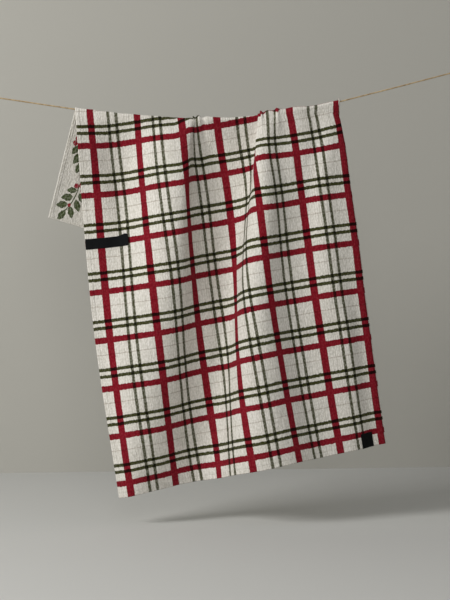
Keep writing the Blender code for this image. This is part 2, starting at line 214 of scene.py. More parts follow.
@dataclass(frozen=True)
class TowelSizes:
    """Cut size of the towel and how it hangs."""

    width: float = 450.0
    length: float = 704.0
    warp_lean: float = 8.1
    weft_rise: float = 9.2
    weave_sag: float = 1.8
    front_drop: float = 545.0
    corner_height: float = -24.1
    crest_radius: float = 2.4
    fold_ease: float = 35.0
    bunch_drop: float = 22.0
    corner_tuck: float = 4.6
    corner_tuck_width: float = 10.0
    corner_tuck_drop: float = 16.0
    back_lean_left: float = -14.0
    back_lean_right: float = 2.0
    back_stand_off: float = 30.0
    back_stand_off_edge: float = 26.0
    back_ease: float = 40.0
    back_fold_share: float = 0.6
    back_spread_drop: float = 110.0
    back_wave: float = 3.0
    back_wave_length: float = 140.0
    back_wave_phase: float = 1.0
    back_edge_width: float = 60.0
    cloth: float = 0.7
    hem: float = 1.05
    hem_slope: float = 4.0
    hem_width: float = 7.6
    seam_inset: float = 2.3

    @property
    def half_turn(self) -> float:
        """Run of cloth from the crest over the line to where it starts to fall."""
        return math.pi * self.crest_radius / 2

    def inward(self, left: float, above: float) -> float:
        """Distance from the nearest edge."""
        return min(left, self.width - left, above, self.length - above)


class Drape:
    """How the front of the cloth hangs, worked out on a grid over the unfolded cloth."""

    ACROSS = (-10.0, 570.0, 2.0)
    DOWN = (-40.0, 590.0, 10.0)
    STILL = 0.02
    SEARCH = (-60.0, 140.0, 401)

    def __init__(self, sizes: TowelSizes) -> None:
        """Work out the grid, and the ends of the crease over the line.

        Args:
            sizes: Sizes of the towel.
        """
        self.sizes = sizes
        self.across, self.down = np.arange(*self.ACROSS), np.arange(*self.DOWN)
        step, lean = self.ACROSS[2], math.tan(math.radians(sizes.warp_lean))
        turn, drift = self._turns()
        level, slant = np.cos(turn), 1 + drift**2
        self.x = running_sum((drift**2 + level) / slant, step)
        self.depth = running_sum(np.sin(turn), step)
        self.drop = running_sum(drift * (1 - level) / slant, step)
        edge_x = eased(*zip(*LEFT_EDGE), self.down)
        for row, down in enumerate(self.down):
            edge = down * lean
            inside = (self.across > edge) & (self.across < edge + sizes.width)
            self.x[row] += edge_x[row] - np.interp(edge, self.across, self.x[row])
            self.depth[row] -= self.depth[row][inside].mean()
            self.drop[row] += down - np.interp(edge, self.across, self.drop[row])
        self.crease_ends = [self.crease(left)[1] for left in (0.0, sizes.width)]

    def _turns(self) -> tuple[Array, Array]:
        """Turn of the cloth, and how its folds drift sideways going down, on the whole grid.

        Returns:
            The turn in radians and the drift, as grids.
        """
        turn, drift = np.zeros((2, len(self.down), len(self.across)))
        weight = np.full_like(turn, self.STILL)
        for sections in FOLDS.values():
            levels, *columns = zip(*sections)
            middle, half_width, tilt = (eased(levels, column, self.down) for column in columns)
            fold = np.radians(tilt)[:, None] * bell(self.across[None, :] - middle[:, None], half_width[:, None])
            turn += fold
            drift += np.abs(fold) * np.gradient(middle, self.down)[:, None]
            weight += np.abs(fold)
        return turn, drift / weight

    def _read(self, grid: Array, across: Array, down: Array) -> Array:
        """Read a grid between its points.

        Args:
            grid: Values on the grid.
            across: Level distances on the unfolded cloth.
            down: Plumb distances on it.

        Returns:
            The values there.
        """
        column = np.clip((across - self.across[0]) / self.ACROSS[2], 0, len(self.across) - 1.001)
        row = np.clip((down - self.down[0]) / self.DOWN[2], 0, len(self.down) - 1.001)
        i, j = column.astype(int), row.astype(int)
        a, b = column - i, row - j
        upper = grid[j, i] * (1 - a) + grid[j, i + 1] * a
        return upper * (1 - b) + (grid[j + 1, i] * (1 - a) + grid[j + 1, i + 1] * a) * b

    def front(self, left: Array, below: Array) -> tuple[Array, Array, Array]:
        """Find where points of the front hang.

        Args:
            left: Distances from the left edge.
            below: Distances below the front's top left corner, along the cloth.

        Returns:
            Their x, depth of fold and z.
        """
        s = self.sizes
        starts, at_line, at_hem = zip(*WEAVE_RISE)
        share = np.clip(below / s.front_drop, 0.0, 1.0)
        risen = eased(starts, at_line, left) * (1 - share) + eased(starts, at_hem, left) * share
        below = below - risen + s.weave_sag * 4 * share * (1 - share)
        lean, rise = math.radians(s.warp_lean), math.radians(s.weft_rise)
        across = left * math.cos(rise) + below * math.sin(lean)
        down = below * math.cos(lean) - left * math.sin(rise)
        x, depth, drop = (self._read(grid, across, down) for grid in (self.x, self.depth, self.drop))
        return x, depth, s.corner_height - drop

    def crease(self, left: float) -> tuple[float, float, float]:
        """Find where an upright of the cloth crosses the line.

        Args:
            left: The upright's distance from the left edge.

        Returns:
            How far below the top corner it crosses, and the x and depth of fold there.
        """
        trial = np.linspace(*self.SEARCH)
        x, _, z = self.front(np.full_like(trial, left), trial)
        below = float(np.interp(0.0, line_height(x) - z, trial))
        x, depth, _ = self.front(np.array([left]), np.array([below]))
        return below, float(x[0]), float(depth[0])


class Upright:
    """One line of the cloth along its length, from the front hem over the line to the back hem."""

    def __init__(self, drape: Drape, left: float) -> None:
        """Work out the upright's crossing of the line.

        Args:
            drape: The towel's drape.
            left: Distance from the left edge.
        """
        self.drape, self.sizes, self.left = drape, drape.sizes, left
        self.below, self.crease_x, self.fold_depth = drape.crease(left)
        self.crease_z = float(line_height(self.crease_x))
        self.crest_above = self.sizes.front_drop - self.below + self.sizes.half_turn
        self.bunch, self.ruffle, self.print_slip = (bunched(b, left) for b in (BUNCHES, RUFFLES, CREST_SLIPS))
        self.print_pull = float(eased(*zip(*PRINT_PULL), left))
        self.tuck = self.sizes.corner_tuck * max(0.0, 1 - (self.sizes.width - left) / self.sizes.corner_tuck_width)

    def places(self, above: Array) -> Array:
        """Find the places of points of this upright.

        Args:
            above: Distances above the front hem, along the cloth.

        Returns:
            Their places, one row each.
        """
        s, run = self.sizes, self.crest_above - above
        angle = np.clip(run / s.crest_radius, -math.pi / 2, math.pi / 2)
        radius = s.crest_radius + self.bunch
        forward, height = -radius * np.sin(angle), self.crease_z + radius * np.cos(angle)
        crest = np.stack([np.full_like(run, self.crease_x), forward, height], axis=1)
        drop = np.maximum(np.abs(run) - s.half_turn, 0.0)
        side = np.where(run[:, None] > 0, self._front(drop), self._back(drop))
        places = np.where(np.abs(run[:, None]) <= s.half_turn, crest, side)
        places[:, 0] -= self.tuck * np.exp(-drop / s.corner_tuck_drop)
        return places

    def print_above(self, above: float) -> float:
        """Which level of the print lies at a level of the cloth: near the line it is pulled up, or slips.

        Args:
            above: Distance above the front hem.

        Returns:
            The print's own distance above the front hem.
        """
        near, far = PULL_REACH
        drop = abs(self.crest_above - above)
        share = min(max((far - drop) / (far - near), 0.0), 1.0)
        slip = self.print_slip * math.exp(-((drop / CREST_SLIP_REACH) ** 2))
        return above - (self.print_pull * share * share * (3 - 2 * share) - slip)

    def _stand_out(self, drop: Array) -> Array:
        """How far the cloth stands off the line's middle before its folds open."""
        return self.sizes.crest_radius + self.bunch * np.exp(-drop / self.sizes.bunch_drop)

    def _front(self, drop: Array) -> Array:
        """Places on the front, at distances from the line along the cloth."""
        x, depth, z = self.drape.front(np.full_like(drop, self.left), self.below + drop)
        return np.stack([x, depth * (1 - np.exp(-drop / self.sizes.fold_ease)) - self._stand_out(drop), z], axis=1)

    def _back(self, drop: Array) -> Array:
        """Places on the back flap.

        Args:
            drop: Distances from the line, along the cloth.

        Returns:
            Places, one row each.
        """
        s = self.sizes
        share = self.left / s.width
        lean = math.radians(s.back_lean_left + (s.back_lean_right - s.back_lean_left) * share)
        edge = math.exp(-self.left / s.back_edge_width)
        stand_off = s.back_stand_off + (s.back_stand_off_edge - s.back_stand_off) * edge
        stand_off += s.back_wave * math.sin(math.tau * self.left / s.back_wave_length + s.back_wave_phase)
        stand_off += s.back_fold_share * self.fold_depth
        backward = self._stand_out(drop) + stand_off * (1 - np.exp(-drop / s.back_ease))
        left_x, right_x = self.drape.crease_ends
        spread = (left_x + (right_x - left_x) * share - self.crease_x) * (1 - np.exp(-drop / s.back_spread_drop))
        x = self.crease_x + spread + drop * math.sin(lean)
        return np.stack([x, backward, self.crease_z - drop * math.cos(lean)], axis=1)


# ----------------------------------------------------------------------------------------------------------
# Meshes
# ----------------------------------------------------------------------------------------------------------


class Slot(Enum):
    """The record's material slots."""

    CLOTH = "printed_cotton"
    RIBBON = "black_ribbon"
    TWINE = "natural_twine"


def add_piece(mesh: Mesh, materials: Sequence[Material], node: Optional[str] = None) -> Piece:
    """Make a finished mesh a piece of the object, of the mesh's name.

    Args:
        mesh: Its mesh, in metres in the frame.
        materials: Its materials, in the order of its faces' indices.
        node: The CAD node that it stands for, if any.

    Returns:
        The piece.
    """
    piece = bpy.data.objects.new(mesh.name, mesh)
    for material in materials:
        mesh.materials.append(material)
    bpy.context.scene.collection.objects.link(piece)
    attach(piece, ROOT)
    if node:
        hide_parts(node)
    return piece


def mesh_from(name: str, shape: Shape, smooth: bool = True) -> Mesh:
    """Turn a finished bmesh into a mesh and free it.

    Args:
        name: The mesh's name.
        shape: The bmesh.
        smooth: Whether its faces are shaded smooth.

    Returns:
        The mesh.
    """
    mesh = bpy.data.meshes.new(name)
    shape.to_mesh(mesh)
    shape.free()
    if smooth:
        mesh.shade_smooth()
    return mesh


def grid_shape(columns: int, rows: int) -> tuple[Shape, dict[bmesh.types.BMVert, tuple[int, int]]]:
    """Make a grid of vertices to be put in place.

    Args:
        columns: Vertices across.
        rows: Vertices up.

    Returns:
        The grid, and each vertex's row from the bottom and column.
    """
    shape = bmesh.new()
    bmesh.ops.create_grid(shape, x_segments=columns - 1, y_segments=rows - 1, size=1.0)
    spots = {
        vertex: (round((vertex.co.y + 1) / 2 * (rows - 1)), round((vertex.co.x + 1) / 2 * (columns - 1)))
        for vertex in shape.verts
    }
    return shape, spots


def map_cloth(shape: Shape, place: Callable[[bmesh.types.BMFace, bmesh.types.BMVert], tuple[float, float]]) -> None:
    """Give a shape the map that cloth patterns follow.

    Args:
        shape: The shape.
        place: Takes a face and a corner of it, and returns its place on the cloth in millimetres.
    """
    cloth_map = shape.loops.layers.uv.new(CLOTH_MAP)
    for face in shape.faces:
        for loop in face.loops:
            left, above = place(face, loop.vert)
            loop[cloth_map].uv = (left * MM, above * MM)


def copies(name: str, model: Mesh, places: Sequence[Matrix]) -> Shape:
    """Put copies of a small mesh in many places, and remove the mesh.

    Args:
        name: What the copies are called.
        model: The small mesh.
        places: Where each copy goes.

    Returns:
        One shape of them all.
    """
    shape = bmesh.new()
    for place in places:
        copy = model.copy()
        copy.name = name
        copy.transform(place)
        shape.from_mesh(copy)
        bpy.data.meshes.remove(copy)
    bpy.data.meshes.remove(model)
    return shape


def tube_mesh(name: str, points: Points, radius: float, rounding: int, cyclic: bool = False) -> Mesh:
    """Make a round cord along points.

    Args:
        name: The mesh's name.
        points: Its middle line, in millimetres.
        radius: Its radius, in millimetres.
        rounding: The curve's bevel resolution.
        cyclic: Whether it closes on itself.

    Returns:
        The mesh, in metres.
    """
    curve = bpy.data.curves.new(name, "CURVE")
    curve.dimensions = "3D"
    curve.bevel_depth = radius * MM
    curve.bevel_resolution = rounding
    curve.use_fill_caps = not cyclic
    spline = curve.splines.new("POLY")
    spline.points.add(len(points) - 1)
    for target, point in zip(spline.points, points):
        target.co = (*(point * MM), 1.0)
    spline.use_cyclic_u = cyclic
    guide = bpy.data.objects.new(name + "_guide", curve)
    bpy.context.scene.collection.objects.link(guide)
    mesh = bpy.data.meshes.new_from_object(guide.evaluated_get(bpy.context.evaluated_depsgraph_get()))
    bpy.data.objects.remove(guide)
    bpy.data.curves.remove(curve)
    return mesh


def joined(name: str, meshes: Sequence[Mesh]) -> Mesh:
    """Put several meshes into one.

    Args:
        name: The new mesh's name.
        meshes: The meshes, which are used up.

    Returns:
        The mesh.
    """
    shape = bmesh.new()
    for mesh in meshes:
        shape.from_mesh(mesh)
        bpy.data.meshes.remove(mesh)
    return mesh_from(name, shape)


# ----------------------------------------------------------------------------------------------------------
# Materials
# ----------------------------------------------------------------------------------------------------------


class Wire:
    """An output of a node. Sums on it place Math nodes."""

    def __init__(self, bench: "Bench", socket: bpy.types.NodeSocket) -> None:
        """Hold the output and its bench."""
        self.bench, self.socket = bench, socket

    def __add__(self, other: "Value") -> "Wire":
        """This and a value together."""
        return self.bench.math("ADD", self, other)

    def __sub__(self, other: "Value") -> "Wire":
        """This without a value."""
        return self.bench.math("SUBTRACT", self, other)

    def __rsub__(self, other: float) -> "Wire":
        """A number without this."""
        return self.bench.math("SUBTRACT", other, self)

    def __mul__(self, other: "Value") -> "Wire":
        """This times a value."""
        return self.bench.math("MULTIPLY", self, other)

    def __truediv__(self, other: "Value") -> "Wire":
        """This as a share of a value."""
        return self.bench.math("DIVIDE", self, other)

    def __abs__(self) -> "Wire":
        """This without its sign."""
        return self.bench.math("ABSOLUTE", self)

    def ramp(self, low: "Value", high: "Value", start: float = 0.0, end: float = 1.0) -> "Wire":
        """Ease from start, where this is low, to end, where it is high."""
        return self.bench.placed("MapRange", self, low, high, start, end, interpolation_type="SMOOTHSTEP")

    def rotated(self, other: "Wire", turn: "Wire") -> tuple["Wire", "Wire"]:
        """This and another value as a place, seen from a frame that is turned."""
        cos, sin = self.bench.math("COSINE", turn), self.bench.math("SINE", turn)
        return self * cos + other * sin, other * cos - self * sin


Value = Union[float, Sequence[float], Wire]
Wires = SimpleNamespace


class Grain(NamedTuple):
    """Noise on the cloth: its scales across and along, its layer, its octaves and how much the fine ones count."""

    across: float
    along: float
    layer: float
    detail: float = 2.0
    roughness: float = 0.5


class Surface(NamedTuple):
    """What is the same all over a finish: gloss, fuzz, and its relief's strength and depth in millimetres."""

    specular: float
    sheen: float = 0.0
    sheen_roughness: float = 0.5
    bump: float = 0.0
    depth: float = 0.0


class Bench:
    """Places the nodes of one material or node group and links them."""

    def __init__(self, tree: NodeTree) -> None:
        """Start work on a tree."""
        self.tree = tree

    def feed(self, socket: bpy.types.NodeSocket, value: Optional[Value]) -> None:
        """Link an input to an output, or set its value.

        Args:
            socket: The input.
            value: What feeds it. A tuple that holds outputs is combined first, and None leaves it alone.
        """
        if isinstance(value, tuple) and any(isinstance(part, Wire) for part in value):
            value = self.placed("CombineXYZ", *value)
        if isinstance(value, Wire):
            self.tree.links.new(value.socket, socket)
        elif value is not None:
            socket.default_value = (*value, 1.0) if socket.type == "RGBA" else value

    def placed(
        self, kind: str, *values: Value, fed: Optional[dict] = None, output: Union[int, str] = 0, **settings: object
    ) -> Wire:
        """Place a node.

        Args:
            kind: The node's type, without its prefix.
            *values: What feeds its first inputs.
            fed: What feeds other inputs, by name or number.
            output: Which output is wanted, by name or number.
            **settings: Its settings.

        Returns:
            The output.
        """
        node = self.tree.nodes.new("ShaderNode" + kind)
        for name, value in settings.items():
            setattr(node, name, value)
        for key, value in [*enumerate(values), *(fed or {}).items()]:
            self.feed(node.inputs[key], value)
        return Wire(self, node.outputs[output])

    def math(self, operation: str, *values: Value) -> Wire:
        """Result of a Math node."""
        return self.placed("Math", *values, operation=operation)

    def most(self, *values: Wire) -> Wire:
        """Largest of several values."""
        return reduce(lambda first, second: self.math("MAXIMUM", first, second), values)

    def noise(self, place: Value, scale: float, detail: float = 2.0, roughness: float = 0.5) -> Wire:
        """Noise of about 0.5 in the mean, read at a place."""
        return self.placed("TexNoise", place, fed={"Scale": scale, "Detail": detail, "Roughness": roughness})

    def grain(self, left: Wire, above: Wire, grain: Grain) -> Wire:
        """Noise on the cloth."""
        place = (left * grain.across, above * grain.along, grain.layer)
        return self.noise(place, 1.0, grain.detail, grain.roughness)

    def mix(self, share: Value, first: Value, second: Value, blend: str = "MIX") -> Wire:
        """Mix a share of a second colour into a first."""
        return self.placed("Mix", share, fed={6: first, 7: second}, output=2, data_type="RGBA", blend_type=blend)

    def effect(self, group: NodeTree, **values: Value) -> Wires:
        """Place a node group.

        Args:
            group: The group.
            **values: Its inputs by name.

        Returns:
            Its outputs by name.
        """
        node = self.tree.nodes.new("ShaderNodeGroup")
        node.node_tree = group
        for name, value in values.items():
            self.feed(node.inputs[name], value)
        return Wires(**{socket.name: Wire(self, socket) for socket in node.outputs})

    def on_cloth(self) -> tuple[Wire, Wire]:
        """Millimetres from the left edge and above the front hem, off the cloth's own map."""
        place = self.placed("UVMap", uv_map=CLOTH_MAP)
        return tuple(self.placed("SeparateXYZ", place, output=axis) * (1 / MM) for axis in (0, 1))

    def coat(
        self, shader: bpy.types.Node, surface: Surface, colour: Wire, rough: Wire, height: Optional[Wire] = None
    ) -> None:
        """Feed a Principled node.

        Args:
            shader: The node.
            surface: What is the same all over.
            colour: The colour.
            rough: The roughness.
            height: The relief, if it has any.
        """
        coats = {"Base Color": colour, "Roughness": rough, "Specular IOR Level": surface.specular}
        coats |= {"Sheen Weight": surface.sheen, "Sheen Roughness": surface.sheen_roughness}
        if height is not None:
            relief = {"Strength": surface.bump, "Distance": surface.depth * MM, "Height": height}
            coats["Normal"] = self.placed("Bump", fed=relief)
        for name, value in coats.items():
            self.feed(shader.inputs[name], value)


COLOUR_SOCKETS = ("ground", "colour")


def make_effect(name: str, inputs: str, outputs: str, build: Callable[[Bench, Wires], dict[str, Wire]]) -> NodeTree:
    """Make a node group.

    Args:
        name: Its name.
        inputs: Names of its inputs.
        outputs: Names of its outputs.
        build: Takes the bench and the inputs, places the nodes, and returns what feeds each output.

    Returns:
        The group.
    """
    tree = bpy.data.node_groups.new(name, "ShaderNodeTree")
    for side, labels in (("INPUT", inputs), ("OUTPUT", outputs)):
        for label in labels.split():
            kind = "NodeSocketColor" if label in COLOUR_SOCKETS else "NodeSocketFloat"
            tree.interface.new_socket(name=label, in_out=side, socket_type=kind)
    bench = Bench(tree)
    entry, leaving = tree.nodes.new("NodeGroupInput"), tree.nodes.new("NodeGroupOutput")
    given = Wires(**{socket.name: Wire(bench, socket) for socket in entry.outputs if socket.name})
    for label, value in build(bench, given).items():
        bench.feed(leaving.inputs[label], value)
    return tree


class Stripe(NamedTuple):
    """One stripe of the check: its middle in the repeat, its width, how strongly it is dyed, and its soft edge."""

    middle: float
    width: float
    strength: float = 1.0
    softness: float = 0.5


@dataclass(frozen=True)
class Check:
    """The printed check, in millimetres on the cloth. Uprights count from the left, rows from the top."""

    upright_repeat: float = 69.5
    row_repeat: float = 67.4
    row_start: float = 545.0
    red: Colour = (0.29, 0.009, 0.024)
    green: Colour = (0.060, 0.067, 0.018)
    grey: Colour = (0.44, 0.38, 0.33)
    red_uprights: tuple[Stripe, ...] = (Stripe(22.0, 10.6, 1.0, 0.45),)
    red_rows: tuple[Stripe, ...] = (Stripe(53.0, 8.4, 1.0, 0.45),)
    green_uprights: tuple[Stripe, ...] = rows_of(Stripe, (49.8, 4.4, 0.95, 0.75), (61.4, 4.4, 0.95, 0.75))
    green_rows: tuple[Stripe, ...] = rows_of(Stripe, (94.1, 4.7), (103.4, 4.7))
    grey_uprights: tuple[Stripe, ...] = rows_of(
        Stripe, (34.3, 0.9, 0.14), (38.0, 0.9, 0.2), (41.6, 0.9, 0.24), (45.3, 1.1, 0.34), (72.0, 0.9, 0.12),
        (79.0, 0.9, 0.14),
    )
    grey_rows: tuple[Stripe, ...] = (Stripe(73.2, 1.3, 0.55),)


@dataclass
class ClothEffects:
    """Node groups that both sides of the cloth use."""

    sizes: TowelSizes
    check: Check

    DRIFT = Grain(0.09, 0.035, 0.0)
    BREAKS = Grain(0.34, 0.11, 3.0, 2.0, 0.6)
    CRINKLE = Grain(0.30, 0.16, 7.0, 3.0, 0.55)
    ASIDE = Grain(0.2, 0.42, 11.0)
    ALONG = Grain(0.36, 0.09, 17.0)
    PUCKER_WIDTH = 2.8
    PUCKER_LENGTH = 4.4
    PUCKER_DRIFT = 1.6
    PUCKER_CHANCE = 0.72
    THREAD = 0.62
    GROOVE_INSET = 1.3

    def __post_init__(self) -> None:
        """Build the groups."""
        # the weave group also puts out the painted shade that darkens the cloth's colour in its hollows
        self.weave = make_effect("crinkled_weave", "left above", "height shade aside along rib", self._weave)
        self.stripe = make_effect("stripe", "at middle repeat width softness", "mask", self._stripe)
        self.print = make_effect("check_print", "left above ground aside along rib", "colour", self._print)
        self.hem = make_effect("turned_hem", "left above", "seam groove edge", self._hem)

    def _weave(self, bench: Bench, given: Wires) -> dict[str, Wire]:
        """Small staggered puckers, as the cloth has shrunk, over a plain weave, and painted shade in their hollows.

        Args:
            bench: The group's bench.
            given: Its inputs.

        Returns:
            What feeds its outputs.
        """
        left, above = given.left, given.above
        drift, breaks, crinkle, aside, along = (
            bench.grain(left, above, grain) for grain in (self.DRIFT, self.BREAKS, self.CRINKLE, self.ASIDE, self.ALONG)
        )
        aslant = left * (1 / self.PUCKER_WIDTH) + drift * self.PUCKER_DRIFT
        pucker = bench.placed(
            "TexVoronoi",
            (aslant, above * (1 / self.PUCKER_LENGTH), 0.0),
            fed={"Scale": 1.0, "Randomness": self.PUCKER_CHANCE},
            voronoi_dimensions="2D",
            feature="F1",
        )
        rib = pucker.ramp(0.62, 0.08)
        ribs = rib * breaks.ramp(0.3, 0.62, 0.35, 1.0)
        warp, weft = (bench.math("SINE", way * (math.tau / self.THREAD)) for way in (left, above))
        return {
            "height": ribs * 0.42 + crinkle * 0.9 + warp * weft * 0.035,
            # shade is painted shade: darker in the hollows of the puckers and crinkles, a little lighter on their
            # crests
            "shade": (ribs * 0.45 + crinkle).ramp(0.3, 0.95, 0.84, 1.05),
            "aside": (aside - 0.5) * 1.5,
            "along": (along - 0.5) * 2.2 + (rib - 0.5) * 0.35,
            "rib": ribs,
        }

    @staticmethod
    def _stripe(bench: Bench, given: Wires) -> dict[str, Wire]:
        """Mask of a stripe that repeats.

        Args:
            bench: The group's bench.
            given: Its inputs.

        Returns:
            What feeds its output.
        """
        half, edge = given.repeat * 0.5, given.width * 0.5
        away = abs(bench.math("WRAP", given.at - given.middle, half, half * -1.0))
        return {"mask": away.ramp(edge + given.softness, edge - given.softness)}

    def _dye(self, bench: Bench, at: Wire, stripes: Sequence[Stripe], repeat: float) -> Wire:
        """Where any of several stripes lies.

        Args:
            bench: The group's bench.
            at: Distance on the cloth.
            stripes: The stripes.
            repeat: Their repeat.

        Returns:
            Their strength there.
        """
        masks = []
        for middle, width, strength, softness in stripes:
            sizes = {"middle": middle, "repeat": repeat, "width": width, "softness": softness}
            masks.append(bench.effect(self.stripe, at=at, **sizes).mask * strength)
        return bench.most(*masks)

    def _print(self, bench: Bench, given: Wires) -> dict[str, Wire]:
        """The check, dye over dye, on ground cloth.

        Args:
            bench: The group's bench.
            given: Its inputs.

        Returns:
            What feeds its output.
        """
        # the ground comes in with the weave's painted shade, and the dyes are multiplied over it
        check, colour = self.check, given.ground
        aside, below = given.left + given.aside, check.row_start - (given.above + given.along)
        worn, fresh = (given.rib.ramp(0.0, 0.8, 1.0, left) for left in (0.84, 0.95))
        uprights, rows = check.upright_repeat, check.row_repeat
        for dye, at, stripes, repeat, wear in (
            (check.grey, aside, check.grey_uprights, uprights, worn),
            (check.grey, below, check.grey_rows, rows, worn),
            (check.green, aside, check.green_uprights, uprights, worn),
            (check.green, below, check.green_rows, rows, fresh),
        ):
            colour = bench.mix(self._dye(bench, at, stripes, repeat) * wear, colour, dye, "MULTIPLY")
        red = bench.most(
            self._dye(bench, aside, check.red_uprights, uprights), self._dye(bench, below, check.red_rows, rows)
        )
        return {"colour": bench.mix(red * given.rib.ramp(0.0, 0.9, 1.0, 0.985), colour, check.red, "MULTIPLY")}

    def _hem(self, bench: Bench, given: Wires) -> dict[str, Wire]:
        """The turned hem: the seam that shows inside near the edge, and the groove its stitches pull.

        Args:
            bench: The group's bench.
            given: Its inputs.

        Returns:
            What feeds its outputs.
        """
        s = self.sizes
        sides = bench.math("MINIMUM", given.left, s.width - given.left)
        inward = bench.math("MINIMUM", sides, bench.math("MINIMUM", given.above, s.length - given.above))
        return {
            "seam": abs(inward - s.seam_inset).ramp(0.8, 0.1),
            "groove": abs(inward - (s.hem_width - self.GROOVE_INSET)).ramp(1.1, 0.0),
            "edge": inward.ramp(0.25, 0.1),
        }


class Finish:
    """A material of the object or the stage."""

    name = "finish"

    def material(self) -> Material:
        """Build the finish's material.

        Returns:
            The material.
        """
        made = bpy.data.materials.new(self.name)
        made.use_nodes = True
        self.dress(Bench(made.node_tree), made.node_tree.nodes["Principled BSDF"])
        return made

    def dress(self, bench: Bench, shader: bpy.types.Node) -> None:
        """Place the material's nodes round its Principled node."""
        raise NotImplementedError


class CottonFinish(Finish):
    """What both sides of the cloth share: crinkled off-white cotton, matt, soft fuzz, painted shade in the crinkles."""

    ground: Colour = (0.76, 0.728, 0.668)
    # warmth: blue falls faster as the tone darkens, so the random tone and the painted shade turn warmer
    warmth = 1.15
    surface = Surface(0.08, 0.02, 0.6, 0.8, 1.0)
    streaks = Grain(0.55, 0.05, 23.0, 3.0, 0.6)
    clouds = Grain(0.02, 0.02, 31.0)

    def __init__(self, effects: ClothEffects) -> None:
        """Take the cloth's node groups."""
        self.effects = effects

    def dress(self, bench: Bench, shader: bpy.types.Node) -> None:
        """Place the material's nodes.

        Args:
            bench: The material's bench.
            shader: Its Principled node.
        """
        left, above = bench.on_cloth()
        weave, hem = (bench.effect(group, left=left, above=above) for group in (self.effects.weave, self.effects.hem))
        streaks = bench.grain(left, above, self.streaks).ramp(0.3, 0.72, 0.9, 1.04)
        # random streaks and clouds, times the weave's painted shade
        tone_and_painted_shade = streaks * bench.grain(left, above, self.clouds).ramp(0.3, 0.7, 0.97, 1.02) * weave.shade
        # the bare cloth's colour with the painted shade multiplied in; the prints are laid over it
        ground = bench.mix(1.0, self.ground, (tone_and_painted_shade, tone_and_painted_shade, bench.math("POWER", tone_and_painted_shade, self.warmth)), "MULTIPLY")
        colour = self.colour(bench, Wires(left=left, above=above, ground=ground, weave=weave, hem=hem))
        rough = weave.height.ramp(0.3, 1.0, 0.97, 0.88)
        bench.coat(shader, self.surface, colour, rough, weave.height - hem.groove * 0.5)

    def colour(self, bench: Bench, cloth: Wires) -> Wire:
        """The side's own print, over the bare cloth."""
        raise NotImplementedError


class CheckedFinish(CottonFinish):
    """The outer side, with its red and green check."""

    name = "checked cotton"

    def colour(self, bench: Bench, cloth: Wires) -> Wire:
        """The check all over, but for the back flap's very edge, which shows the undyed fold.

        Args:
            bench: The material's bench.
            cloth: Places on the cloth, its bare colour with the painted shade, its weave and its hem.

        Returns:
            The colour.
        """
        pulls = {name: getattr(cloth.weave, name) for name in ("aside", "along", "rib")}
        printed = bench.effect(self.effects.print, left=cloth.left, above=cloth.above, ground=cloth.ground, **pulls)
        behind = bench.math("GREATER_THAN", cloth.above, self.effects.sizes.front_drop)
        return bench.mix(cloth.hem.edge * behind, printed.colour, cloth.ground)


class StitchFinish(CheckedFinish):
    """Sewing thread of the hems, printed with the cloth and a little duller."""

    name = "printed thread"
    ground: Colour = (0.70, 0.67, 0.61)


class Leaf(NamedTuple):
    """A leaf of the sprig: its middle, its turn in degrees, its length and width."""

    x: float
    y: float
    turn: float
    length: float
    width: float


class Berry(NamedTuple):
    """A berry of the sprig."""

    x: float
    y: float
    radius: float


@dataclass(frozen=True)
class Sprig:
    """A plain sprig of leaves and berries, and how it is scattered (mm)."""

    column: float = 58.0
    row: float = 64.0
    sway: float = 1.5
    turn: float = 1.2
    green: Colour = (0.055, 0.075, 0.026)
    light_green: Colour = (0.13, 0.16, 0.08)
    red: Colour = (0.26, 0.010, 0.022)
    seam: Colour = (0.86, 0.85, 0.82)
    stem_half_length: float = 23.0
    stem_half_width: float = 0.9
    stem_bow: float = 0.007
    leaves: tuple[Leaf, ...] = rows_of(
        Leaf,
        (25.0, 2.5, 8.0, 18.0, 9.5), (13.0, 10.0, 48.0, 18.5, 10.0), (14.0, -6.5, -44.0, 18.0, 9.5),
        (0.0, 9.5, 52.0, 19.0, 10.5), (1.0, -9.5, -50.0, 18.5, 10.0), (-12.0, 9.0, 56.0, 15.5, 9.0),
        (-11.0, -8.5, -54.0, 15.5, 9.0),
    )
    berries: tuple[Berry, ...] = rows_of(
        Berry, (-21.0, 7.0, 3.7), (-26.0, 1.0, 3.9), (-20.5, -5.0, 3.5), (7.5, 1.0, 2.7)
    )


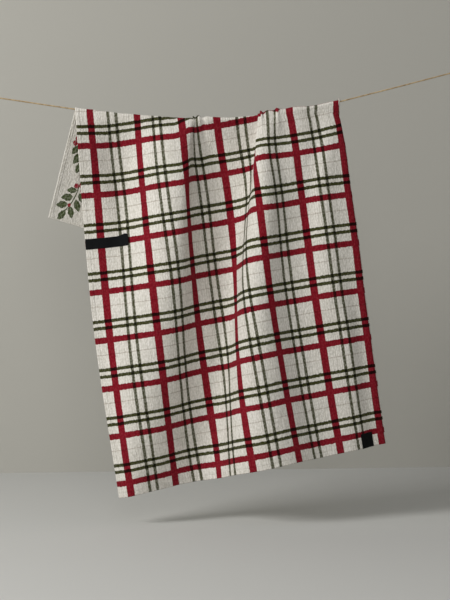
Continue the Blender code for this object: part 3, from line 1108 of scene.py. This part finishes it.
class SpriggedFinish(CottonFinish):
    """The inner side, with a loose scatter of sprigs and the hem turned over it."""

    name = "sprigged cotton"

    def __init__(self, effects: ClothEffects, sprig: Sprig) -> None:
        """Build the sprig's node groups.

        Args:
            effects: The cloth's node groups.
            sprig: The sprig and its scatter.
        """
        super().__init__(effects)
        self.sprig = sprig
        self.leaf = make_effect("leaf", "x y middle_x middle_y turn length width", "mask vein", self._leaf)
        self.berry = make_effect("berry", "x y middle_x middle_y radius", "mask", self._berry)

    @staticmethod
    def _leaf(bench: Bench, given: Wires) -> dict[str, Wire]:
        """A pointed leaf with a middle vein.

        Args:
            bench: The group's bench.
            given: Its inputs.

        Returns:
            What feeds its outputs.
        """
        along, aside = (given.x - given.middle_x).rotated(given.y - given.middle_y, given.turn)
        aside, share = abs(aside), along / (given.length * 0.5)
        scallop = bench.math("SINE", share * 9.0) * 0.07
        mask = (1.0 - share * share + scallop - aside / (given.width * 0.5)).ramp(-0.04, 0.08)
        return {"mask": mask, "vein": aside.ramp(0.75, 0.25) * mask}

    @staticmethod
    def _berry(bench: Bench, given: Wires) -> dict[str, Wire]:
        """A round berry."""
        x, y = given.x - given.middle_x, given.y - given.middle_y
        return {"mask": (bench.math("SQRT", x * x + y * y) - given.radius).ramp(0.35, -0.35)}

    def _scatter(self, bench: Bench, left: Wire, above: Wire) -> tuple[Wire, Wire]:
        """Place within the nearest sprig of a half-drop repeat, each turned its own way.

        Args:
            bench: The material's bench.
            left: Distance from the left edge.
            above: Distance above the front hem.

        Returns:
            Place in the sprig's own frame.
        """
        sprig = self.sprig
        column = bench.math("FLOOR", left / sprig.column)
        dropped = above + bench.math("MODULO", column, 2.0) * (sprig.row / 2)
        row = bench.math("FLOOR", dropped / sprig.row)
        chance = bench.placed("TexWhiteNoise", (column, row, 0.0), noise_dimensions="2D")
        x = left - column * sprig.column - sprig.column / 2
        y = dropped - row * sprig.row - sprig.row / 2
        return x.rotated(y, (chance - 0.5) * sprig.sway + sprig.turn)

    def colour(self, bench: Bench, cloth: Wires) -> Wire:
        """The sprigs up to the edge, with the hem's faint seam.

        Args:
            bench: The material's bench.
            cloth: Places on the cloth, its bare colour with the painted shade, its weave and its hem.

        Returns:
            The colour.
        """
        sprig, weave = self.sprig, cloth.weave
        x, y = self._scatter(bench, cloth.left + weave.aside, cloth.above + weave.along)
        leaves = []
        for leaf in sprig.leaves:
            sizes = {"turn": math.radians(leaf.turn), "length": leaf.length, "width": leaf.width}
            leaves.append(bench.effect(self.leaf, x=x, y=y, middle_x=leaf.x, middle_y=leaf.y, **sizes))
        off_stem = abs(y - x * x * sprig.stem_bow)
        on_stem = off_stem.ramp(sprig.stem_half_width + 0.3, sprig.stem_half_width - 0.3)
        on_stem *= abs(x).ramp(sprig.stem_half_length + 0.5, sprig.stem_half_length - 0.5)
        berries = [
            bench.effect(self.berry, x=x, y=y, middle_x=berry.x, middle_y=berry.y, radius=berry.radius).mask
            for berry in sprig.berries
        ]
        worn = weave.rib.ramp(0.0, 0.8, 1.0, 0.85)
        green = bench.mix(bench.most(*(leaf.vein for leaf in leaves)), sprig.green, sprig.light_green)
        colour = bench.mix(bench.most(on_stem, *(leaf.mask for leaf in leaves)) * worn, cloth.ground, green)
        colour = bench.mix(bench.most(*berries) * worn, colour, sprig.red)
        return bench.mix(cloth.hem.seam, colour, sprig.seam, "MULTIPLY")


class RibbonFinish(Finish):
    """Black woven ribbon with fine ribs across it, a little satin."""

    name = "black ribbon"
    colour: Colour = (0.0035, 0.0043, 0.0046)
    dust: Colour = (0.0105, 0.012, 0.0125)
    surface = Surface(0.1, 0.01, bump=0.4, depth=0.15)
    lint = Grain(0.9, 0.9, 5.0, 4.0, 0.7)
    rib = 0.75
    yarn = 0.5

    def dress(self, bench: Bench, shader: bpy.types.Node) -> None:
        """Place the material's nodes.

        Args:
            bench: The material's bench.
            shader: Its Principled node.
        """
        left, above = bench.on_cloth()
        ribs, yarns = bench.math("SINE", left * (math.tau / self.rib)), bench.math("SINE", above * (math.tau / self.yarn))
        lint = bench.grain(left, above, self.lint)
        colour = bench.mix(lint.ramp(0.52, 0.78, 0.0, 0.35), self.colour, self.dust)
        bench.coat(shader, self.surface, colour, lint.ramp(0.25, 0.75, 0.6, 0.8), ribs * 0.5 + yarns * 0.25)


class TwineFinish(Finish):
    """Rough natural twine: dull tan fibres, paler and darker along each strand."""

    name = "natural twine"
    pale: Colour = (0.56, 0.43, 0.25)
    dark: Colour = (0.30, 0.205, 0.105)
    surface = Surface(0.25, 0.15, bump=0.7, depth=0.25)

    def dress(self, bench: Bench, shader: bpy.types.Node) -> None:
        """Place the material's nodes.

        Args:
            bench: The material's bench.
            shader: Its Principled node.
        """
        place = bench.placed("TexCoord", output="Object")
        patches, fibres = bench.noise(place, 160.0), bench.noise(place, 2600.0, 3.0, 0.65)
        colour = bench.mix((patches * 0.55 + fibres * 0.45).ramp(0.36, 0.64), self.dark, self.pale)
        bench.coat(shader, self.surface, colour, fibres.ramp(0.3, 0.7, 0.95, 0.78), fibres)


class StageFinish(Finish):
    """Plain matt paint or paper for the floor and backdrop, seen from its face only."""

    surface = Surface(0.15)
    dimmed = 0.985

    def __init__(self, name: str, colour: Colour) -> None:
        """Take the material's name and colour."""
        self.name, self.colour = name, colour

    def dress(self, bench: Bench, shader: bpy.types.Node) -> None:
        """Place the material's nodes.

        Args:
            bench: The material's bench.
            shader: Its Principled node.
        """
        cloud = bench.noise(bench.placed("TexCoord", output="Object"), 1.3)
        dim = tuple(channel * self.dimmed for channel in self.colour)
        bench.coat(shader, self.surface, bench.mix(cloud, dim, self.colour), cloud.ramp(0.3, 0.7, 0.8, 0.9))
        behind = bench.placed("NewGeometry", output="Backfacing")
        clear = bench.placed("BsdfTransparent")
        faced = bench.placed("MixShader", behind, Wire(bench, shader.outputs[0]), clear)
        output = next(node for node in bench.tree.nodes if node.type == "OUTPUT_MATERIAL")
        bench.feed(output.inputs["Surface"], faced)


# ----------------------------------------------------------------------------------------------------------
# Sub-assemblies
# ----------------------------------------------------------------------------------------------------------


class ClothSkin(NamedTuple):
    """The finished outer surface of the towel, to sew things on: rows by columns, in metres."""

    lefts: Array
    aboves: Array
    places: Array
    normals: Array

    def _column(self, index: int, above: float) -> Array:
        """Place and normal on one column.

        Args:
            index: The column.
            above: Distance above the front hem.

        Returns:
            The place and the normal, as rows.
        """
        levels = self.aboves[:, index]
        row = int(np.clip(np.searchsorted(levels, above) - 1, 0, len(levels) - 2))
        share = (above - levels[row]) / (levels[row + 1] - levels[row])
        both = np.stack([self.places[:, index], self.normals[:, index]], axis=1)
        return both[row] * (1 - share) + both[row + 1] * share

    def at(self, left: float, above: float, stand_off: float = 0.0) -> tuple[Vector, Vector]:
        """Find a point on the cloth.

        Args:
            left: Distance from the left edge, in millimetres.
            above: Distance above the front hem, in millimetres.
            stand_off: How far outwards from the surface, in millimetres.

        Returns:
            The point and the outward normal there, in metres.
        """
        index = int(np.clip(np.searchsorted(self.lefts, left) - 1, 0, len(self.lefts) - 2))
        share = (left - self.lefts[index]) / (self.lefts[index + 1] - self.lefts[index])
        place, normal = self._column(index, above) * (1 - share) + self._column(index + 1, above) * share
        normal = Vector(normal).normalized()
        return Vector(place) + normal * (stand_off * MM), normal


@dataclass
class TowelCloth:
    """The towel's cloth with its hems, gathers and crinkles, and how finely it is divided (mm and counts)."""

    drape: Drape
    skin: Optional[ClothSkin] = None
    hem_steps: tuple[float, ...] = (0.0, 0.35, 1.1, 3.2, 5.6, 6.9, 7.5, 8.3)
    columns: int = 156
    column_trials: int = 2000
    front_rows: int = 168
    back_rows: int = 64
    crest_rows: int = 9
    near_line: float = 2.0
    front_spread: float = 1.18
    back_spread: float = 1.15
    crinkle: float = 0.32
    ruffle_reach: float = 15.0
    crease_reach: float = 90.0
    rounding: float = 0.25
    rounding_width: float = 1.1
    rim_share: float = 0.8

    def _columns(self) -> Array:
        """Distances of the columns from the left edge, closer together where the cloth is gathered."""
        steps, width = self.hem_steps, self.drape.sizes.width
        fine = np.linspace(steps[-1], width - steps[-1], self.column_trials)
        density = 1 + bunched(TIGHT_PLACES, fine)
        along = np.concatenate([[0.0], np.cumsum(0.5 * (density[1:] + density[:-1]))])
        inner = np.interp(np.linspace(0, along[-1], self.columns), along, fine)
        return np.concatenate([steps[:-1], inner, width - np.array(steps[:-1])[::-1]])

    def _levels(self, upright: Upright) -> Array:
        """Distances of an upright's vertices above the front hem.

        Args:
            upright: The upright.

        Returns:
            The distances, rising.
        """
        steps, length, half_turn = self.hem_steps, upright.sizes.length, upright.sizes.half_turn
        front_top = upright.crest_above - half_turn - self.near_line
        back_top = upright.crest_above + half_turn + self.near_line
        front_share = 1 - np.linspace(1, 0, self.front_rows) ** self.front_spread
        back_share = np.linspace(0, 1, self.back_rows) ** self.back_spread
        front = steps[-1] + (front_top - steps[-1]) * front_share
        back = back_top + (length - steps[-1] - back_top) * back_share
        crest = np.linspace(front_top, back_top, self.crest_rows + 2)[1:-1]
        return np.concatenate([steps[:-1], front, crest, back, length - np.array(steps[:-1])[::-1]])

    def _crease_height(self, crease: Crease, left: float, above: float) -> float:
        """Height of one crease at a point, fading towards its ends.

        Args:
            crease: The crease.
            left: Distance from the left edge.
            above: Distance above the front hem.

        Returns:
            The height in millimetres.
        """
        along = Vector((crease.end_left - crease.start_left, crease.end_above - crease.start_above))
        offset = Vector((left - crease.start_left, above - crease.start_above))
        share = offset.dot(along) / along.length_squared
        if not 0 < share < 1:
            return 0.0
        aside = (offset.x * along.y - offset.y * along.x) / along.length
        return crease.height * math.sin(math.pi * share) * math.exp(-((aside / crease.half_width) ** 2))

    def _outward(self, upright: Upright, above: float) -> float:
        """How far the cloth stands out at a point: crinkles, creases, ruffles at the line, rounded at the edge.

        Args:
            upright: The upright that it lies on.
            above: Its distance above the front hem.

        Returns:
            The height in millimetres.
        """
        left = upright.left
        height = upright.ruffle * math.exp(-abs(upright.crest_above - above) / self.ruffle_reach)
        for crease in CREASES:
            if abs(above - (crease.start_above + crease.end_above) / 2) < self.crease_reach:
                height += self._crease_height(crease, left, above)
        broad = noise.noise(Vector((left * 0.05, above * 0.022, 1.0)))
        fine = noise.noise(Vector((left * 0.13, above * 0.055, 5.0)))
        edge = max(0.0, 1 - upright.sizes.inward(left, above) / self.rounding_width)
        return height + self.crinkle * (1.6 * broad + fine) - self.rounding * edge**2

    def build(self, outer: Material, inner: Material) -> Piece:
        """Build the cloth, and keep its outer surface.

        Args:
            outer: Finish of the outer side and the edges.
            inner: Finish of the inner side.

        Returns:
            The piece.
        """
        lefts = self._columns()
        uprights = [Upright(self.drape, float(left)) for left in lefts]
        aboves = np.stack([self._levels(upright) for upright in uprights], axis=1)
        places = np.stack([upright.places(above) for upright, above in zip(uprights, aboves.T)], axis=1)
        shape, spots = grid_shape(aboves.shape[1], aboves.shape[0])
        for vertex, spot in spots.items():
            vertex.co = Vector(places[spot]) * MM
        shape.normal_update()
        half_cloth = self.drape.sizes.cloth / 2
        normals = {vertex: vertex.normal.copy() for vertex in spots}
        for vertex, (row, column) in spots.items():
            outward = self._outward(uprights[column], float(aboves[row, column])) + half_cloth
            vertex.co += normals[vertex] * (outward * MM)
        printed = {
            vertex: (lefts[column], uprights[column].print_above(float(aboves[row, column])))
            for vertex, (row, column) in spots.items()
        }
        map_cloth(shape, lambda _, vertex: printed[vertex])
        shape.normal_update()
        skin = np.zeros((2, *aboves.shape, 3))
        for vertex, spot in spots.items():
            skin[0][spot], skin[1][spot] = vertex.co, vertex.normal
        self.skin = ClothSkin(lefts, aboves, *skin)
        order = [(lefts[column], aboves[row, column]) for row, column in (spots[vertex] for vertex in shape.verts)]
        piece = add_piece(mesh_from("towel_cloth", shape), (outer, inner), "towel")
        self._thicken(piece, order)
        return piece

    def _thicken(self, piece: Piece, order: Sequence[tuple[float, float]]) -> None:
        """Give the cloth its inner side, and the hems their turned layers.

        Args:
            piece: The cloth.
            order: Each vertex's distances from the left edge and above the front hem.
        """
        s = self.drape.sizes
        group = piece.vertex_groups.new(name="layers")
        weights: dict[float, list[int]] = {}
        for index, (left, above) in enumerate(order):
            inward = s.inward(left, above)
            thick = s.cloth + (s.hem - s.cloth) * min(max((s.hem_width - inward) / s.hem_slope, 0.0), 1.0)
            rounding = max(0.0, 1 - inward / self.rounding_width)
            thick *= self.rim_share + (1 - self.rim_share) * math.sqrt(1 - rounding**2)
            weights.setdefault(round(thick / s.hem, 3), []).append(index)
        for weight, members in weights.items():
            group.add(members, weight, "REPLACE")
        layers = piece.modifiers.new("layers", "SOLIDIFY")
        layers.thickness = s.hem * MM
        layers.offset = -1.0
        layers.vertex_group = group.name
        layers.material_offset = 1
        layers.material_offset_rim = 0
        layers.use_quality_normals = True


@dataclass(frozen=True)
class HemStitches:
    """The line of stitches that holds the hem, on the outer side (mm)."""

    towel: TowelSizes
    length: float = 2.5
    pitch: float = 3.1
    radius: float = 0.17
    inset: float = 6.3
    stand_off: float = 0.35
    turns: int = 6
    rings: int = 4

    def _course(self) -> list[tuple[float, float, float, float]]:
        """Middle and direction of every stitch, on the cloth.

        Returns:
            Distances from the left and above the front hem, with the step along the seam.
        """
        s, inset = self.towel, self.inset
        found = []
        for across, fixed in ((True, inset), (True, s.length - inset), (False, inset), (False, s.width - inset)):
            low, high = inset, (s.width if across else s.length) - inset
            count = int((high - low) / self.pitch)
            for k in range(count):
                along = low + (k + 0.5) * (high - low) / count
                found.append((along, fixed, 1.0, 0.0) if across else (fixed, along, 0.0, 1.0))
        return found

    def build(self, skin: ClothSkin, finish: Material) -> Piece:
        """Sew the stitches.

        Args:
            skin: The cloth's surface.
            finish: The thread's finish.

        Returns:
            The piece.
        """
        pattern = bmesh.new()
        bmesh.ops.create_uvsphere(pattern, u_segments=self.turns, v_segments=self.rings, radius=1.0)
        bmesh.ops.scale(pattern, vec=Vector((self.radius, self.radius, self.length / 2)) * MM, verts=pattern.verts)
        model = mesh_from("stitch", pattern)
        course, places, per_stitch = self._course(), [], len(model.polygons)
        for left, above, aside, along in course:
            place, normal = skin.at(left, above, self.radius * self.stand_off)
            ahead, _ = skin.at(left + aside, above + along, self.radius * self.stand_off)
            forward = (ahead - place).normalized()
            turn = Matrix((forward.cross(normal), normal, forward)).transposed().to_4x4()
            places.append(Matrix.Translation(place) @ turn)
        shape = copies("stitch", model, places)
        owners = {face: course[index // per_stitch][:2] for index, face in enumerate(shape.faces)}
        map_cloth(shape, lambda face, _: owners[face])
        return add_piece(mesh_from("hem_stitches", shape), (finish,))


@dataclass(frozen=True)
class Label:
    """A blank woven label, following the cloth that it is sewn on (mm)."""

    name: str
    node: str
    left: float
    up: float
    width: float
    height: float
    columns: int
    rows: int
    lift: float = 0.0
    flare: float = 0.0
    thickness: float = 0.45
    clearance: float = 0.25
    edge: float = 0.12
    lift_at: tuple[float, float] = (0.9, 0.13)
    flare_at: tuple[float, float] = (0.93, 0.1)

    def build(self, skin: ClothSkin, finish: Material) -> Piece:
        """Build the label.

        Args:
            skin: The cloth's surface.
            finish: The ribbon's finish.

        Returns:
            The piece.
        """
        shape, spots = grid_shape(self.columns, self.rows)
        woven = {}
        for vertex, (row, column) in spots.items():
            along, up = column / (self.columns - 1), row / (self.rows - 1)
            lift, flare = (
                size * up * float(bell(along - middle, half_width))
                for size, (middle, half_width) in ((self.lift, self.lift_at), (self.flare, self.flare_at))
            )
            above = self.up - self.height * (1 - up) + flare
            vertex.co, _ = skin.at(self.left + self.width * along, above, self.thickness + self.clearance + lift)
            woven[vertex] = (self.width * along, self.height * up)
        map_cloth(shape, lambda _, vertex: woven[vertex])
        piece = add_piece(mesh_from(self.name, shape), (finish,), self.node)
        thickness = piece.modifiers.new("thickness", "SOLIDIFY")
        thickness.thickness = self.thickness * MM
        thickness.offset = -1.0
        rounded = piece.modifiers.new("rounded", "BEVEL")
        rounded.width = self.edge * MM
        rounded.segments = 1
        rounded.limit_method = "ANGLE"
        return piece


LABELS = (
    Label("ribbon_label", "side_label", 0.3, 364.8, 60.7, 14.6, 44, 12, lift=1.6, flare=2.4),
    Label("hem_tag", "corner_tag", 403.9, 20.6, 21.7, 20.8, 18, 16),
)


@dataclass(frozen=True)
class TiedEnd:
    """One end of the line: its piece, the CAD node that it stands for, and its eye."""

    name: str
    node: str
    eye: Vector


@dataclass
class TwineLine:
    """The taut twine and the loops tied at its two ends (mm)."""

    diameter: float = 2.0
    strands: int = 3
    strand_radius: float = 0.56
    strand_offset: float = 0.5
    strand_wander: float = 0.12
    lay: float = 8.5
    step: float = 1.05
    loop_length: float = 17.9
    loop_width: float = 11.0
    loop_points: int = 48
    shoulder: float = 1.15
    taper: float = 0.75
    knot_length: float = 6.0
    knot_radius: float = 1.75
    knot_turns: float = 3.0
    knot_offset: float = 1.0
    knot_points: int = 40
    tail: float = 9.0
    tail_droop: float = 3.5
    hairs: int = 620
    loop_hairs: int = 60
    hair_length: float = 2.6
    hair_radius: float = 0.045
    hair_root: float = 0.7
    station_step: float = 9.0

    ENDS = (
        TiedEnd("left_loop", "line_loop_left", Vector((0.0, 0.0, 0.0))),
        TiedEnd("right_loop", "line_loop_right", Vector((712.0, 0.0, 46.05))),
    )

    @staticmethod
    def _resampled(points: Points, step: float, cyclic: bool = False) -> list[Vector]:
        """Space points evenly along a path.

        Args:
            points: The path.
            step: Distance between the new points.
            cyclic: Whether the path closes.

        Returns:
            The new points.
        """
        path = np.array([tuple(p) for p in points] + ([tuple(points[0])] if cyclic else []))
        along = np.concatenate([[0.0], np.cumsum(np.linalg.norm(np.diff(path, axis=0), axis=1))])
        at = np.linspace(0.0, along[-1], max(2, round(along[-1] / step) + 1))
        found = [Vector([float(np.interp(t, along, path[:, k])) for k in range(3)]) for t in at]
        return found[:-1] if cyclic else found

    def _laid(self, name: str, points: Points, cyclic: bool = False) -> Mesh:
        """Lay the strands of the twine round a path.

        Args:
            name: The mesh's name.
            points: The path.
            cyclic: Whether it closes.

        Returns:
            The mesh.
        """
        path = self._resampled(points, self.step, cyclic)
        count, frames, aside = len(path), [], BACKWARD
        turns = count * self.step / self.lay
        if cyclic:
            turns = round(turns)
        for index in range(count):
            before = path[(index - 1) % count] if cyclic or index else path[0]
            after = path[(index + 1) % count] if cyclic or index < count - 1 else path[-1]
            forward = (after - before).normalized()
            aside = (aside - forward * aside.dot(forward)).normalized()
            frames.append((aside.copy(), forward.cross(aside)))
        meshes = []
        for strand in range(self.strands):
            course = []
            for index, (point, (first, second)) in enumerate(zip(path, frames)):
                angle = math.tau * (turns * index / count + strand / self.strands)
                wander = 1 + self.strand_wander * noise.noise(Vector((index * 0.11, strand * 7.0, 2.0)))
                offset = self.strand_offset * wander
                course.append(point + first * (math.cos(angle) * offset) + second * (math.sin(angle) * offset))
            meshes.append(tube_mesh(f"{name}_{strand}", course, self.strand_radius, 1, cyclic))
        return joined(name, meshes)

    def _fibres(self, name: str, points: Points, count: int, seed: int) -> Mesh:
        """Loose fibres that stand off the twine.

        Args:
            name: The mesh's name.
            points: The twine's middle line.
            count: How many fibres.
            seed: Seed of their scatter.

        Returns:
            The mesh.
        """
        draw = np.random.default_rng(seed)
        path = self._resampled(points, 2.0)
        pattern, radius = bmesh.new(), self.hair_radius * MM
        bmesh.ops.create_cone(pattern, cap_ends=False, segments=3, radius1=radius, radius2=0.3 * radius, depth=MM)
        bmesh.ops.translate(pattern, vec=UP * (0.5 * MM), verts=pattern.verts)
        places = []
        for _ in range(count):
            index = int(draw.integers(1, len(path) - 1))
            forward = (path[index + 1] - path[index - 1]).normalized()
            angle, length = draw.uniform(0, math.tau), self.hair_length * draw.uniform(0.4, 1.0)
            around = Matrix.Rotation(angle, 3, forward) @ forward.orthogonal().normalized()
            lean = (around + forward * draw.uniform(0.6, 2.2) * draw.choice((-1, 1))).normalized()
            root = path[index].lerp(path[index + 1], draw.uniform()) + around * self.hair_root
            turn = UP.rotation_difference(lean).to_matrix().to_4x4()
            places.append(Matrix.Translation(root * MM) @ turn @ Matrix.Diagonal((1.0, 1.0, length, 1.0)))
        return mesh_from(name, copies("hair", mesh_from("hair", pattern), places))

    def _loop_path(self, eye: Vector, towards: Vector) -> list[Vector]:
        """Middle line of a tied loop, from the knot round the eye and back.

        Args:
            eye: The loop's eye.
            towards: Direction from the eye to the knot.

        Returns:
            The path.
        """
        across = Vector((-towards.z, 0.0, towards.x))
        tip, mouth = eye - towards * (self.loop_width / 2), eye + towards * self.loop_length
        path = []
        for angle in np.linspace(0.0, math.tau, self.loop_points, endpoint=False):
            share = (1 - math.cos(angle)) / 2
            half_width = self.loop_width / 2 * (self.shoulder - self.taper * share)
            side = across * (math.sin(angle) * half_width) + BACKWARD * (0.5 * math.sin(angle))
            path.append(tip.lerp(mouth, share) + side)
        return path

    def _knot_path(self, eye: Vector, towards: Vector) -> list[Vector]:
        """Middle line of the wraps that tie a loop, with a short tail.

        Args:
            eye: The loop's eye.
            towards: Direction from the eye to the knot.

        Returns:
            The path.
        """
        middle = eye + towards * (self.loop_length + self.knot_offset)
        across = Vector((-towards.z, 0.0, towards.x))
        path = []
        for share in np.linspace(0.0, 1.0, self.knot_points):
            angle = math.tau * self.knot_turns * share
            along = (share - 0.5) * (self.knot_length - self.diameter)
            swell = self.knot_radius * (1 + 0.12 * math.sin(math.pi * share))
            ring = across * math.cos(angle) * swell + BACKWARD * math.sin(angle) * swell
            path.append(middle + towards * along + ring)
        last, aslant = path[-1], across * 0.35 - BACKWARD * 0.3 - towards * 0.75
        for share in np.linspace(0.2, 1.0, 6):
            path.append(last + aslant * (self.tail * share) - UP * (self.tail_droop * share * share))
        return path

    def _end(self, end: TiedEnd, tied_to: Vector, finish: Material) -> Piece:
        """Build one tied end.

        Args:
            end: The end.
            tied_to: The end of the line that it is tied to.
            finish: The twine's finish.

        Returns:
            The piece.
        """
        towards = (tied_to - end.eye).normalized()
        path = self._loop_path(end.eye, towards)
        loop = self._laid(end.name + "_loop", path, cyclic=True)
        knot = self._laid(end.name + "_knot", self._knot_path(end.eye, towards))
        fibres = self._fibres(end.name + "_hairs", path, self.loop_hairs, len(end.name))
        return add_piece(joined(end.name, (loop, knot, fibres)), (finish,), end.node)

    def build(self, finish: Material) -> list[Piece]:
        """Args:
            finish: The twine's finish.

        Returns:
            The pieces.
        """
        start, stop = TWINE_ROUTE[0][0], TWINE_ROUTE[-1][0]
        stations = np.linspace(start, stop, round((stop - start) / self.station_step) + 1)
        route = [Vector((x, 0.0, float(line_height(x)))) for x in stations]
        strands = self._laid("twine_strands", route)
        fibres = self._fibres("twine_hairs", route, self.hairs, 4)
        line = add_piece(joined("twine", (strands, fibres)), (finish,), "line")
        ends = [self._end(end, tied_to, finish) for end, tied_to in zip(self.ENDS, (route[0], route[-1]))]
        return [line, *ends]


@dataclass(frozen=True)
class Lamp:
    """A soft square light: where it stands, its size and power. It aims at the towel's middle."""

    name: str
    place: tuple[float, float, float]
    size: float
    power: float
    colour: Colour = (1.0, 0.99, 0.98)


@dataclass(frozen=True)
class Studio:
    """Camera, plain floor and backdrop, and soft lights, in metres and degrees."""

    distance: float = 2.5
    yaw: float = 6.0
    pitch: float = 2.0
    view_height: float = 0.84
    sensor: float = 36.0
    far_clip: float = 60.0
    floor: float = -0.602
    backdrop: float = 0.60
    spread: float = 8.0
    floor_colour: Colour = (0.60, 0.60, 0.575)
    backdrop_colour: Colour = (0.47, 0.46, 0.415)
    lamps: tuple[Lamp, ...] = (
        Lamp("key", (-1.4, -1.25, 0.85), 0.9, 39.5),
        Lamp("fill", (0.1, -3.2, 0.6), 0.9, 14.0),
    )
    ambient: Colour = (0.985, 0.99, 1.0)
    ambient_strength: float = 0.275

    TARGET = Vector((0.3502, 0.0, -0.2843))
    LAMP_AIM = Vector((0.35, 0.0, -0.28))

    def camera(self) -> None:
        """Set up the camera at the photograph's angle."""
        yaw, pitch = math.radians(self.yaw), math.radians(self.pitch)
        forward = Vector((math.sin(yaw) * math.cos(pitch), math.cos(yaw) * math.cos(pitch), -math.sin(pitch)))
        data = bpy.data.cameras.new("camera")
        data.sensor_width = self.sensor
        data.lens = self.sensor * self.distance / self.view_height
        data.clip_end = self.far_clip
        camera = bpy.data.objects.new("camera", data)
        bpy.context.scene.collection.objects.link(camera)
        camera.location = self.TARGET - forward * self.distance
        camera.rotation_euler = forward.to_track_quat("-Z", "Y").to_euler()
        bpy.context.scene.camera = camera

    def _sheet(self, name: str, turn: float, place: Vector, finish: Material) -> None:
        """Put up a large plain sheet of the stage.

        Args:
            name: Its name.
            turn: How far it is tipped up, in degrees.
            place: Its middle.
            finish: Its finish.
        """
        shape = bmesh.new()
        bmesh.ops.create_grid(shape, x_segments=4, y_segments=4, size=self.spread / 2)
        bmesh.ops.rotate(shape, cent=(0, 0, 0), matrix=Matrix.Rotation(math.radians(turn), 3, "X"), verts=shape.verts)
        bmesh.ops.translate(shape, vec=place, verts=shape.verts)
        sheet = bpy.data.objects.new(name, mesh_from(name, shape, smooth=False))
        sheet.data.materials.append(finish)
        bpy.context.scene.collection.objects.link(sheet)

    def stage(self) -> None:
        """Lay the floor and hang the backdrop."""
        floor = StageFinish("pale floor", self.floor_colour).material()
        wall = StageFinish("grey backdrop", self.backdrop_colour).material()
        half, middle = self.spread / 2, self.TARGET.x
        self._sheet("floor", 0.0, Vector((middle, self.backdrop - half, self.floor)), floor)
        self._sheet("backdrop", 90.0, Vector((middle, self.backdrop, self.floor + half)), wall)

    def light(self) -> None:
        """Hang the lamps and set the soft surrounding light."""
        for lamp in self.lamps:
            data = bpy.data.lights.new(lamp.name, "AREA")
            data.shape = "SQUARE"
            data.size = lamp.size
            data.energy = lamp.power
            data.color = lamp.colour
            light = bpy.data.objects.new(lamp.name, data)
            light.location = lamp.place
            light.rotation_euler = (self.LAMP_AIM - Vector(lamp.place)).to_track_quat("-Z", "Y").to_euler()
            bpy.context.scene.collection.objects.link(light)
        world = bpy.data.worlds.new("surroundings")
        world.use_nodes = True
        surround = world.node_tree.nodes["Background"]
        surround.inputs["Color"].default_value = (*self.ambient, 1.0)
        surround.inputs["Strength"].default_value = self.ambient_strength
        bpy.context.scene.world = world
        bpy.context.scene.view_settings.view_transform = "Standard"


@dataclass(frozen=True)
class TeaTowel:
    """The whole object: line, cloth, stitches and labels."""

    sizes: TowelSizes = TowelSizes()

    def build(self) -> None:
        line = TwineLine().build(TwineFinish().material())
        effects = ClothEffects(self.sizes, Check())
        cloth = TowelCloth(Drape(self.sizes))
        towel = cloth.build(CheckedFinish(effects).material(), SpriggedFinish(effects, Sprig()).material())
        stitches = HemStitches(self.sizes).build(cloth.skin, StitchFinish(effects).material())
        ribbon = RibbonFinish().material()
        labels = [label.build(cloth.skin, ribbon) for label in LABELS]
        for piece in (*line, towel, stitches, *labels):
            log.info("%s: %d faces", piece.name, len(piece.data.polygons))


def main() -> None:
    """Set up the camera, build the towel on its line, then the stage and lights."""
    logging.basicConfig(level=logging.INFO, format="%(name)s %(message)s")
    studio = Studio()
    studio.camera()
    TeaTowel().build()
    studio.stage()
    studio.light()


if __name__ == "__main__":
    main()
